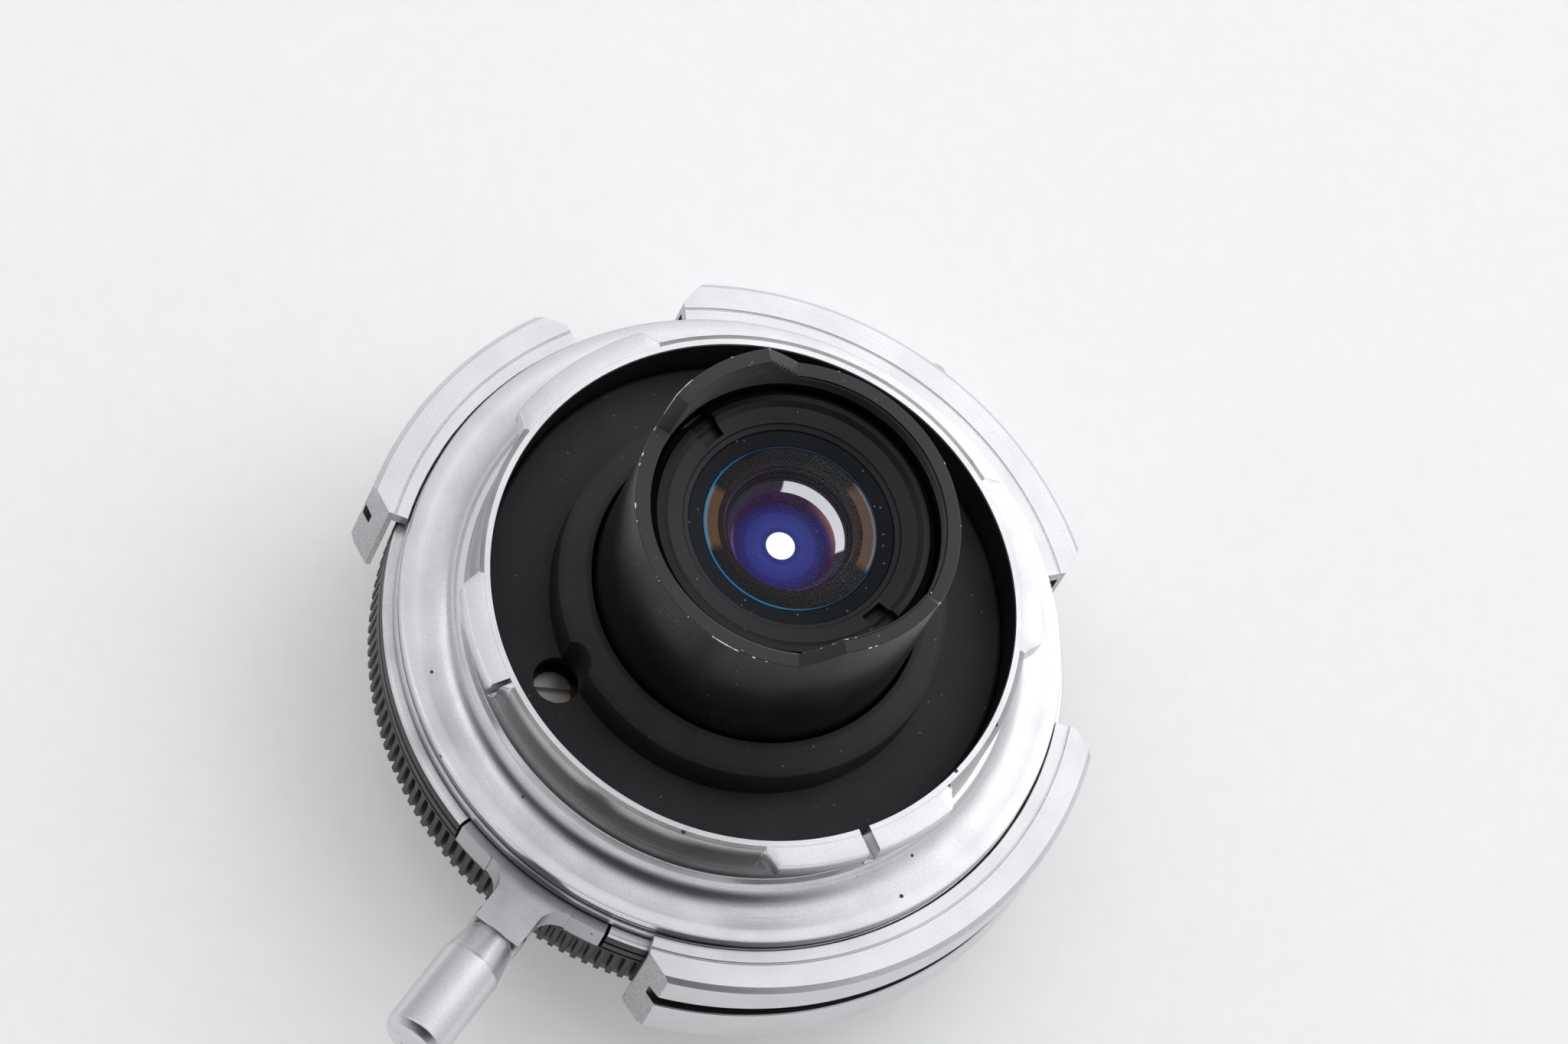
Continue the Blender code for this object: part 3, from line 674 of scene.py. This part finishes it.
# the lever's T shape: an arc along the ring, then a fillet on each side down to the straight neck
fillet_x = LEVER_NECK + LEVER_FILLET
fillet_y = -math.sqrt((FOCUS_R + LEVER_FILLET) ** 2 - fillet_x ** 2)
meet = math.degrees(math.atan2(-fillet_y, -fillet_x))
foot_turn = math.degrees(math.asin(fillet_x / (FOCUS_R + LEVER_FILLET)))
lever_outline = (
    arc_points(LEVER_ARM_IN, *LEVER_ARMS, 16)
    + arc_points(FOCUS_R + 0.08, LEVER_ARMS[1], 270.0 + foot_turn, 8)
    + arc_points(LEVER_FILLET, 180.0 - meet, 180.0, 10, (fillet_x, fillet_y))[1:]
    + [(LEVER_NECK, -LEVER_END), (-LEVER_NECK, -LEVER_END)]
    + arc_points(LEVER_FILLET, 0.0, meet, 10, (-fillet_x, fillet_y))[:-1]
    + arc_points(FOCUS_R + 0.08, 270.0 - foot_turn, LEVER_ARMS[0], 8))
lever = slab("lever_plate", lever_outline, FOCUS_FRONT, FOCUS_REAR + 0.05, [LEVER_CHROME])
place(soften(lever, 0.28, 4, 40.0), "focus", "satin_chrome", "focus_lever")


def along_minus_y(obj, z):
    """Turns a piece made round Z to lie along -Y at height z."""
    obj.data.transform(Matrix.Translation((0.0, 0.0, z * MM)) @ Matrix.Rotation(math.radians(-90.0), 4, "X"))
    return obj


# the thick rounded end of the lever, which the knob screws into
roll_half = LEVER_NECK + 0.12
roll_r = 1.22
roll = turned("lever_roll", [
    (0.0, roll_half), (0.9, roll_half), (roll_r, roll_half - 0.35), (roll_r, 0.35 - roll_half),
    (0.9, -roll_half), (0.0, -roll_half)], [LEVER_CHROME], 48, 0.2)
roll.data.transform(Matrix.Translation(Vector((0.0, -LEVER_END + 0.5, KNOB_Z)) * MM)
                    @ Matrix.Rotation(math.radians(90.0), 4, "Y"))
place(roll, "focus", "satin_chrome")
knob = turned("knob_turned", [
    (0.0, -KNOB_START), (1.75, -KNOB_START), (1.9, -30.65), (1.98, -31.0), (2.38, -33.1), (KNOB_R, -33.4),
    (KNOB_R, -KNOB_END + 0.6), (KNOB_R - 0.5, -KNOB_END), (1.2, -KNOB_END), (1.1, -KNOB_END + 0.12),
    (0.0, -KNOB_END + 0.12)], [KNOB_CHROME], 96, 0.14)
place(along_minus_y(knob, KNOB_Z), "focus", "satin_chrome", "lever_knob")


# ---------------------------------------------------------------- ribbed aperture ring
RIB_FLANKS = (0.16, 0.28, 0.72, 0.84)      # where a rib's flanks start and end, in shares of the pitch


def ring_profile(azimuth):
    phase = (azimuth * RIBS / 360.0) % 1.0
    rib = min(max((0.34 - abs(phase - 0.5)) / 0.12, 0.0), 1.0)
    low = RIB_FOOT_R + (RING_R - RIB_FOOT_R) * rib
    return [(24.0, RING_REAR), (RING_R - 0.15, RING_REAR), (RING_R, RING_REAR - 0.12),
            (RING_R, RING_REAR - 0.35), (low, -6.25), (low, -9.05), (low - 0.1 * rib, -9.2), (25.2, -9.35),
            (25.15, -10.2), (24.5, -11.6), (24.35, RING_FRONT), (RING_BORE, RING_FRONT),
            (RING_BORE, RING_REAR)]


rib_steps = [360.0 / RIBS * (i + share) for i in range(RIBS) for share in RIB_FLANKS]
place(revolve("ribbed_ring", ring_profile, rib_steps, [RIB_BLACK, BAND],
              lambda radius, z, azimuth, normal: 1 if z > -5.6 or z < -9.3 else 0, crease=22.0),
      "aperture", "black_anodised", "aperture_ring")

# ---------------------------------------------------------------- baffle plate with its access hole
baffle = turned("baffle", [
    (12.9, COLLAR_Z), (14.25, 6.88), (COLLAR_R, 6.5), (COLLAR_R, BAFFLE_Z), (19.4, BAFFLE_Z),
    (BAFFLE_R, 3.05), (BAFFLE_R, BAFFLE_UNDER), (COLLAR_BORE, BAFFLE_UNDER),
    (COLLAR_BORE, COLLAR_Z)], [BAFFLE], 240, 0.08)
hole_at, hole_azimuth, hole_r = ACCESS_HOLE
bore = bmesh.new()
bmesh.ops.create_cone(bore, cap_ends=True, segments=64, radius1=hole_r * MM, radius2=hole_r * MM,
                      depth=10.0 * MM)
bmesh.ops.translate(bore, vec=polar(hole_at, hole_azimuth, 5.0), verts=bore.verts)
cut_away(baffle, bore)
place(baffle, "mount", "matt_black", "baffle_plate")


# ---------------------------------------------------------------- rear shroud with tongues, thread and chips
def rim_height(azimuth):
    """The rim's height, with the tongues' straight ramps."""
    for foot, crest, crest_end, foot_end in TONGUES:
        middle = (crest + crest_end) * 0.5
        off = apart(azimuth, middle)
        rise = (off - (foot - middle)) / (crest - foot)
        fall = ((foot_end - middle) - off) / (foot_end - crest_end)
        if min(rise, fall) > 0.0:
            return RIM_Z + (TONGUE_Z - RIM_Z) * min(rise, fall, 1.0)
    return RIM_Z


def thread_wave(azimuth, z):
    """0 on a thread's crest, 1 in its groove."""
    return abs((z / THREAD_PITCH + azimuth / 360.0) % 1.0 - 0.5) * 2.0


def shroud_profile(azimuth):
    top = rim_height(azimuth)
    foot_r, foot_top, foot_under = SHROUD_FOOT
    thread = []
    for i in range(THREAD_STEPS + 1):
        z = THREAD_FOOT + (top - 0.1 - THREAD_FOOT) * i / THREAD_STEPS
        thread.append((SHROUD_IN + THREAD_DEPTH * thread_wave(azimuth, z), z))
    rim = [(SHROUD_IN + 0.06 + THREAD_DEPTH * thread_wave(azimuth, top), top), (SHROUD_R - 0.1, top),
           (SHROUD_R - 0.03, top - 0.04), (SHROUD_R, top - 0.12)]
    outside = [(SHROUD_R, 3.0), (SHROUD_R, foot_top), (foot_r, foot_top), (foot_r, foot_under),
               (SHROUD_IN, foot_under)]
    return [(SHROUD_IN, foot_top - 0.05)] + thread + rim + outside


def shroud_material(radius, z, azimuth, normal):
    """0 outside, 1 top of the rim, 2 inside, 3 the thread's crests, painted lighter as a highlight."""
    if z > RIM_Z - 0.2 and normal.z > 0.3 and radius > SHROUD_IN + THREAD_DEPTH + 0.1:
        return 1
    if radius > SHROUD_IN + THREAD_DEPTH + 0.05:
        return 0
    return 3 if z > THREAD_FOOT and thread_wave(azimuth, z) < 0.45 else 2


ramp_breaks = [(edge, 0.4) for tongue in TONGUES for edge in tongue]
for foot, crest, crest_end, foot_end in TONGUES:
    ramp_breaks += [(foot + (crest - foot) * (i + 0.5) / 4.0, (crest - foot) / 8.0) for i in range(4)]
    ramp_breaks += [(crest_end + (foot_end - crest_end) * (i + 0.5) / 4.0, (foot_end - crest_end) / 8.0)
                    for i in range(4)]
place(revolve("shroud", shroud_profile, around(360, *ramp_breaks), [SHROUD, RIM, RING_BLACK, THREAD_CREST_HIGHLIGHT],
              shroud_material, crease=28.0), "optics", "black_anodised", "rear_shroud")

# bare metal where the black has chipped off the rim: azimuth, length in degrees, half thickness in mm, radius
EDGE_OUT = SHROUD_R - 0.03
EDGE_IN = SHROUD_IN + 0.15
CHIPS = ((171.5, 5.5, 0.07, EDGE_OUT), (178.0, 9.0, 0.05, EDGE_OUT), (186.5, 2.0, 0.06, EDGE_OUT),
         (197.5, 1.6, 0.09, EDGE_OUT), (201.5, 1.2, 0.07, EDGE_OUT), (217.2, 2.2, 0.10, EDGE_OUT),
         (223.0, 0.8, 0.05, EDGE_OUT), (273.0, 1.2, 0.06, EDGE_OUT), (277.0, 7.5, 0.08, EDGE_OUT),
         (281.8, 2.4, 0.06, EDGE_OUT), (288.5, 1.2, 0.09, EDGE_OUT), (293.0, 0.8, 0.05, EDGE_OUT),
         (262.0, 0.6, 0.04, EDGE_OUT), (246.0, 0.5, 0.04, EDGE_OUT), (311.0, 2.0, 0.06, EDGE_IN),
         (315.5, 1.8, 0.06, EDGE_IN), (319.5, 2.0, 0.06, EDGE_IN), (323.0, 1.4, 0.05, EDGE_IN),
         (327.0, 1.6, 0.07, EDGE_OUT), (329.2, 1.2, 0.06, EDGE_OUT), (2.0, 1.7, 0.16, 12.02),
         (6.5, 1.0, 0.07, 11.1), (358.0, 1.4, 0.06, EDGE_OUT), (137.5, 1.0, 0.06, EDGE_OUT),
         (152.0, 1.2, 0.04, EDGE_OUT), (110.0, 1.0, 0.04, EDGE_OUT), (60.0, 1.4, 0.04, EDGE_OUT),
         (36.0, 0.8, 0.04, EDGE_OUT))


def chip(bm, azimuth, length, thick, radius, rng):
    """A flattened, uneven bead that follows the rim's edge."""
    steps, sides = max(6, int(length * 2)), 6
    rows = []
    for i in range(steps + 1):
        t = i / steps
        here = azimuth + (t - 0.5) * length
        size = 0.7 * thick * (0.25 + 0.75 * math.sin(math.pi * t)) * rng.uniform(0.6, 1.15)
        z = rim_height(here) - 0.03
        turns = [2 * math.pi * k / sides for k in range(sides)]
        rows.append([bm.verts.new(polar(radius + size * math.cos(a), here, z + size * math.sin(a)))
                     for a in turns])
    for a, b in zip(rows, rows[1:]):
        for k in range(sides):
            bm.faces.new((a[k], a[(k + 1) % sides], b[(k + 1) % sides], b[k]))
    bm.faces.new(rows[0])
    bm.faces.new(rows[-1])


rng = random.Random(7)
chips = bmesh.new()
for values in CHIPS:
    chip(chips, *values, rng)
place(add_mesh("rim_chips", chips, [BARE]), "optics", "satin_chrome")


# ---------------------------------------------------------------- slotted retaining ring
def retaining_profile(azimuth):
    cut = max(slot_at(azimuth, (centre, SPANNER_HALF)) for centre in SPANNER_SLOTS)
    down = SPANNER_DEPTH * cut
    raised = [(10.65, 18.75), (10.3, 19.0), (10.15, 19.25), (9.7, 19.3), (9.5, 19.15), (9.3, 18.98),
              (8.55, 18.85)]
    steps_in = [(8.4, 18.8), (8.15, 18.75), (8.05, 18.62), (7.7, 18.5), (7.6, 18.38), (7.0, 18.28),
                (6.55, 18.2), (6.5, 18.1), (6.5, 16.5)]
    return [(10.85, 16.5), (10.85, 18.0), (10.8, 18.05)] + [(r, z - down) for r, z in raised] + steps_in


def retaining_material(radius, z, azimuth, normal):
    """0 black ring, 1 the dusty dark blue edge of the lens inside it."""
    return 1 if 6.52 < radius < 7.65 and z > 18.0 else 0


spanner_ends = [(centre + side * (SPANNER_HALF - 0.05), 0.16) for centre in SPANNER_SLOTS for side in (-1, 1)]
place(revolve("retaining_ring", retaining_profile, around(240, *spanner_ends), [RING_BLACK, DUSTY_NAVY],
              retaining_material, crease=24.0), "optics", "matt_black", "rear_retaining_ring")

# ---------------------------------------------------------------- rear glass and the painted reflections seen in it
upper = [(GLASS_R * i / 10.0, GLASS_TOP - GLASS_SAG * (i / 10.0) ** 2) for i in range(11)]
dome = upper + [(radius, z - GLASS_SKIN) for radius, z in reversed(upper)]
rear_glass = revolve("rear_glass", lambda azimuth: dome, around(128), [GLASS])
place(rear_glass, "optics", "coated_glass", "rear_lens")


def reflection(name, profile, material, ease=0.02):
    """A small turned piece inside the glass that carries one painted reflection."""
    place(turned(name, profile, [material], 160, ease), "optics", "coated_glass")


# the thin ring round the glass is a painted highlight that glows, bright cyan on one side and dark blue
# elsewhere
EDGE = painted_reflection_material("painted_edge_highlight", [(0.0, (0.02, 0.08, 0.25)), (8.0, (0.03, 0.22, 0.42))], 0.0, 8.0, gloss=0.1,
              glow=0.2, sectors=((150.0, 330.0),), other=(0.02, 0.035, 0.07), ease=0.6)
edge_in, edge_out = EDGE_RING
edge_ring = [(edge_out, 18.24), (edge_out, 18.12), (edge_in, 18.12), (edge_in, 18.24)]
reflection("painted_edge_highlight_ring", edge_ring, EDGE, 0.03)
AMBER = painted_reflection_material("amber_reflection", [
    (4.9, (0.10, 0.055, 0.030)), (5.5, (0.16, 0.085, 0.045)), (6.1, (0.13, 0.085, 0.060)),
    (6.36, (0.30, 0.30, 0.30))], 4.9, 6.4, glow=0.15, sectors=((6.0, 76.0), (186.0, 238.0)),
    other=(0.013, 0.013, 0.015), ease=0.12)
reflection("amber_ring", [(6.4, 18.16), (6.4, 18.0), (4.9, 17.9), (4.9, 18.1)], AMBER)


# rings of painted reflection on the funnel's upper wall
RING_BANDS = painted_reflection_material("mauve_reflection_bands", [
    (4.36, (0.030, 0.022, 0.030)), (4.42, (0.085, 0.070, 0.078)), (4.50, (0.022, 0.016, 0.022)),
    (4.60, (0.050, 0.036, 0.042)), (4.70, (0.020, 0.016, 0.020)), (4.78, (0.060, 0.048, 0.052)),
    (4.86, (0.110, 0.095, 0.095)), (4.94, (0.03, 0.02, 0.02))], 4.3, 5.0, gloss=0.2)
WHITE_BAND = painted_reflection_material("white_reflection", [(3.90, (0.95, 0.95, 1.0)), (4.36, (0.92, 0.92, 0.97))], 3.8, 4.4,
                    glow=0.55, sectors=((24.0, 128.0),), other=(0.035, 0.028, 0.045), ease=0.05)
FRINGE = painted_reflection_material("fringe_reflection", [
    (3.42, (0.035, 0.035, 0.23)), (3.60, (0.10, 0.045, 0.22)), (3.74, (0.34, 0.13, 0.14)),
    (3.86, (0.42, 0.22, 0.16)), (3.92, (0.24, 0.14, 0.16))], 3.4, 3.95, glow=0.25,
    sectors=((18.0, 96.0), (195.0, 255.0)), other=(0.055, 0.018, 0.075), ease=0.5)
# the blue disc at the funnel's foot: a painted reflection that glows
BLUE = painted_reflection_material("pupil_painted_reflection", [
    (0.0, (0.045, 0.055, 0.29)), (1.4, (0.035, 0.045, 0.27)), (1.6, (0.045, 0.060, 0.33)),
    (2.6, (0.040, 0.042, 0.28)), (2.75, (0.030, 0.028, 0.20)), (3.42, (0.028, 0.020, 0.13))], 0.0, 3.5,
    gloss=0.12, glow=0.3)
# the small white disc: painted light seen through the iris opening, glowing
WHITE = painted_reflection_material("pupil_painted_light", [(0.0, (1.0, 1.0, 1.0)), (1.1, (0.98, 0.98, 1.0))], 0.0, 1.2, glow=1.2)


def down_funnel(share):
    """Radius and height on the funnel's wall, 0 at its top and 1 at its foot."""
    return tuple(top + (foot - top) * share for top, foot in zip(FUNNEL_TOP, FUNNEL_FOOT))


def funnel_part(name, start, end, material, step_in=0.0):
    """The funnel's wall between two shares of its depth, which carries painted reflections. step_in sets
    every second line of it back.
    """
    steps = 8
    wall = [down_funnel(start + (end - start) * i / steps) for i in range(steps + 1)]
    wall = [(radius + step_in * (i % 2), z) for i, (radius, z) in enumerate(wall)]
    shape = wall + [(wall[-1][0] + 0.6, wall[-1][1]), (wall[0][0] + 0.6, wall[0][1])]
    place(revolve(name, lambda azimuth: shape, around(160), [material]), "optics", "coated_glass")


funnel_part("funnel_rings", 0.0, 0.39, RING_BANDS, 0.03)
funnel_part("funnel_white", 0.39, 0.69, WHITE_BAND)
funnel_part("funnel_fringe", 0.69, 1.0, FRINGE)
disc_r = FUNNEL_FOOT[0] + 0.2
bulge = [(0.0, 14.98), (1.0, 14.97), (2.0, 14.95), (disc_r, 14.86), (disc_r, 14.6), (0.0, 14.6)]
place(turned("pupil_disc", bulge, [BLUE], 128, 0.02), "optics", "coated_glass")
opening = [(0.0, 15.03), (PUPIL_R, 15.0), (PUPIL_R, 14.9), (0.0, 14.9)]
place(turned("pupil_light_disc", opening, [WHITE], 96, 0.01), "optics", "coated_glass")


# ---------------------------------------------------------------- front of the lens
def ridges(radius, depth, start, pitch, count):
    """Points of a finely grooved wall, every second one set back by depth."""
    return [(radius + depth * (i % 2), start + pitch * i) for i in range(count)]


front_barrel = [
    (20.1, -2.6), (20.1, -12.1), (23.8, -12.1), (24.0, -12.25), (24.0, -12.6), (23.4, -13.8), (23.22, -13.85),
    (23.1, -14.05), (23.2, -14.2), (21.7, -17.2), (21.5, -17.5), (21.0, FRONT_Z), (20.1, FRONT_Z),
    (FILTER_R, -18.0)]
front_barrel += ridges(FILTER_R, 0.14, -17.9, 0.2, 9)
front_barrel += [(FILTER_R, -14.4), (18.5, -13.6), (18.5, -2.6)]
place(turned("front_barrel_turned", front_barrel, [ANODISED], 256, 0.06, crease=28.0),
      "optics", "black_anodised", "front_barrel")

front_trim = [
    (13.6, -14.9), (19.5, -14.9), (19.5, -17.2), (18.6, -17.2), (18.4, -17.1), (18.3, -16.95),
    (TRIM_STEP_R, -16.5), (15.8, -16.35), (13.2, -15.9), (12.2, -15.7), (12.0, -15.55), (12.0, -14.9)]
place(turned("front_trim", front_trim, [BAND, INNER_BLACK], 256, 0.05,
             lambda radius, z, azimuth, normal: 1 if radius < TRIM_STEP_R else 0, 24.0),
      "optics", "black_anodised", "front_trim_ring")

front_curve = [math.radians(a) for a in range(9, 90, 9)]
front_dome = [(0.0, -12.1), (5.0, -11.95), (11.4, -11.7), (FRONT_GLASS_R, -11.8),
              (FRONT_GLASS_R, FRONT_GLASS_Z)]
front_dome += [(FRONT_GLASS_R * math.cos(a), FRONT_GLASS_Z - FRONT_GLASS_BULGE * math.sin(a))
               for a in front_curve]
front_dome += [(0.0, FRONT_GLASS_Z - FRONT_GLASS_BULGE)]
place(revolve("front_glass", lambda azimuth: front_dome, around(160), [FRONT_GLASS]),
      "optics", "coated_glass", "front_lens")

front_cell = [(16.2, -6.4), (16.2, -12.2), (18.2, -12.2), (18.2, -13.4), (13.0, -14.6), (11.8, -14.6),
              (11.8, -11.4), (CELL_BORE, -11.4)]
front_cell += ridges(CELL_BORE, 0.12, -11.0, 0.4, 11) + [(CELL_BORE, -6.4)]
place(turned("front_cell_turned", front_cell, [INNER_BLACK], 128, 0.03, crease=24.0),
      "optics", "matt_black", "front_cell")

# ---------------------------------------------------------------- CAD nodes that keep their own shape
KEPT = {
    "main_barrel": BRASS, "mount_screw_1": STEEL, "mount_screw_2": STEEL, "mount_screw_3": STEEL,
    "index_bead": BEAD,
    "guide_key": STEEL, "focus_stop_pin": STEEL, "rear_spacer": INNER_BLACK, "rear_inner_lens": INNER_GLASS,
    "iris_housing": ANODISED, "front_inner_lens": INNER_GLASS, "click_ball": STEEL, "click_spring": STEEL,
    "iris_cam_ring": STEEL, "aperture_drive": STEEL}
KEPT.update({"iris_blade_%d" % (i + 1): BLADE for i in range(8)})
for name, material in KEPT.items():
    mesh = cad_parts[name].data
    if not mesh.materials:
        mesh.materials.append(material)
    for index in range(len(mesh.materials)):
        mesh.materials[index] = material

# ---------------------------------------------------------------- floor, lights and camera
FLOOR_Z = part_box("front_barrel")[0].z


def paper():
    mat, tree, shader = start_material("studio_paper", 0.85, specular=0.2)
    place_in = node(tree, "TexCoord").outputs["Object"]
    grain = node(tree, "TexNoise", {"Vector": place_in, "Scale": 900.0, "Detail": 3.0})
    white = ramp(tree, grain.outputs["Fac"], (0.3, (0.93, 0.93, 0.93)), (0.7, (0.96, 0.96, 0.96)))
    tree.links.new(white, shader.inputs["Base Color"])
    tree.links.new(white, shader.inputs["Emission Color"])
    shader.inputs["Emission Strength"].default_value = 0.3
    return mat


floor_mesh = bmesh.new()
bmesh.ops.create_circle(floor_mesh, cap_ends=True, segments=96, radius=1.6)
bmesh.ops.translate(floor_mesh, vec=(0.0, 0.0, FLOOR_Z), verts=floor_mesh.verts)
add_mesh("floor", floor_mesh, [paper()])


def direction(azimuth, elevation):
    a, e = math.radians(azimuth), math.radians(elevation)
    return Vector((math.cos(a) * math.cos(e), math.sin(a) * math.cos(e), math.sin(e)))


def softbox(name, azimuth, elevation, distance, size, power):
    """An area light aimed at the origin: distance and size in metres, power in watts."""
    light = bpy.data.lights.new(name, "AREA")
    light.shape = "RECTANGLE"
    light.size, light.size_y = size
    light.energy = power
    lamp = bpy.data.objects.new(name, light)
    lamp.location = direction(azimuth, elevation) * distance
    lamp.rotation_euler = (-lamp.location).to_track_quat("-Z", "Y").to_euler()
    bpy.context.scene.collection.objects.link(lamp)


softbox("softbox_near", 76.0, 44.0, 0.27, (0.20, 0.20), 0.06)
softbox("softbox_right", 45.0, 40.0, 0.60, (0.30, 0.30), 0.02)
softbox("strip_left", 190.0, 55.0, 0.60, (0.10, 0.50), 0.20)


def room_light():
    """Soft light from all round, brightest behind the lens and with two dim patches on the lever's side."""
    world = bpy.data.worlds.new("studio")
    world.use_nodes = True
    bpy.context.scene.world = world
    tree = world.node_tree
    facing = node(tree, "TexCoord").outputs["Generated"]

    def toward(azimuth, elevation):
        aim_at = tuple(direction(azimuth, elevation))
        return node(tree, "VectorMath", {0: facing, 1: aim_at}, operation="DOT_PRODUCT").outputs["Value"]

    glow = ramp(tree, toward(60.0, 50.0), (0.3, 0.55), (0.85, 0.86), (1.0, 1.25))
    wide_patch = ramp(tree, toward(298.0, 47.0), (0.70, 1.0), (0.92, 0.04))
    small_patch = ramp(tree, toward(236.0, 44.0), (0.90, 1.0), (0.975, 0.10))
    colour = blend_colour(tree, 1.0, glow, wide_patch, "MULTIPLY")
    colour = blend_colour(tree, 1.0, colour, small_patch, "MULTIPLY")
    colour = blend_colour(tree, 1.0, colour, (0.97, 0.98, 1.0), "MULTIPLY")
    tree.links.new(colour, tree.nodes["Background"].inputs["Color"])
    tree.nodes["Background"].inputs["Strength"].default_value = 1.0


room_light()
bpy.context.scene.view_settings.view_transform = "Standard"

camera_data = bpy.data.cameras.new("camera")
camera_data.lens = CAMERA_LENS
camera_data.sensor_width = 36.0
camera_data.clip_start = 0.05
camera_data.clip_end = 10.0
camera = bpy.data.objects.new("camera", camera_data)
bpy.context.scene.collection.objects.link(camera)
camera.location = Vector(CAMERA_AT) * MM
aim = Vector(CAMERA_AIM) * MM
look = (aim - camera.location).to_track_quat("-Z", "Y").to_matrix().to_4x4()
camera.rotation_euler = (look @ Matrix.Rotation(math.radians(CAMERA_ROLL), 4, "Z")).to_euler()
bpy.context.scene.camera = camera
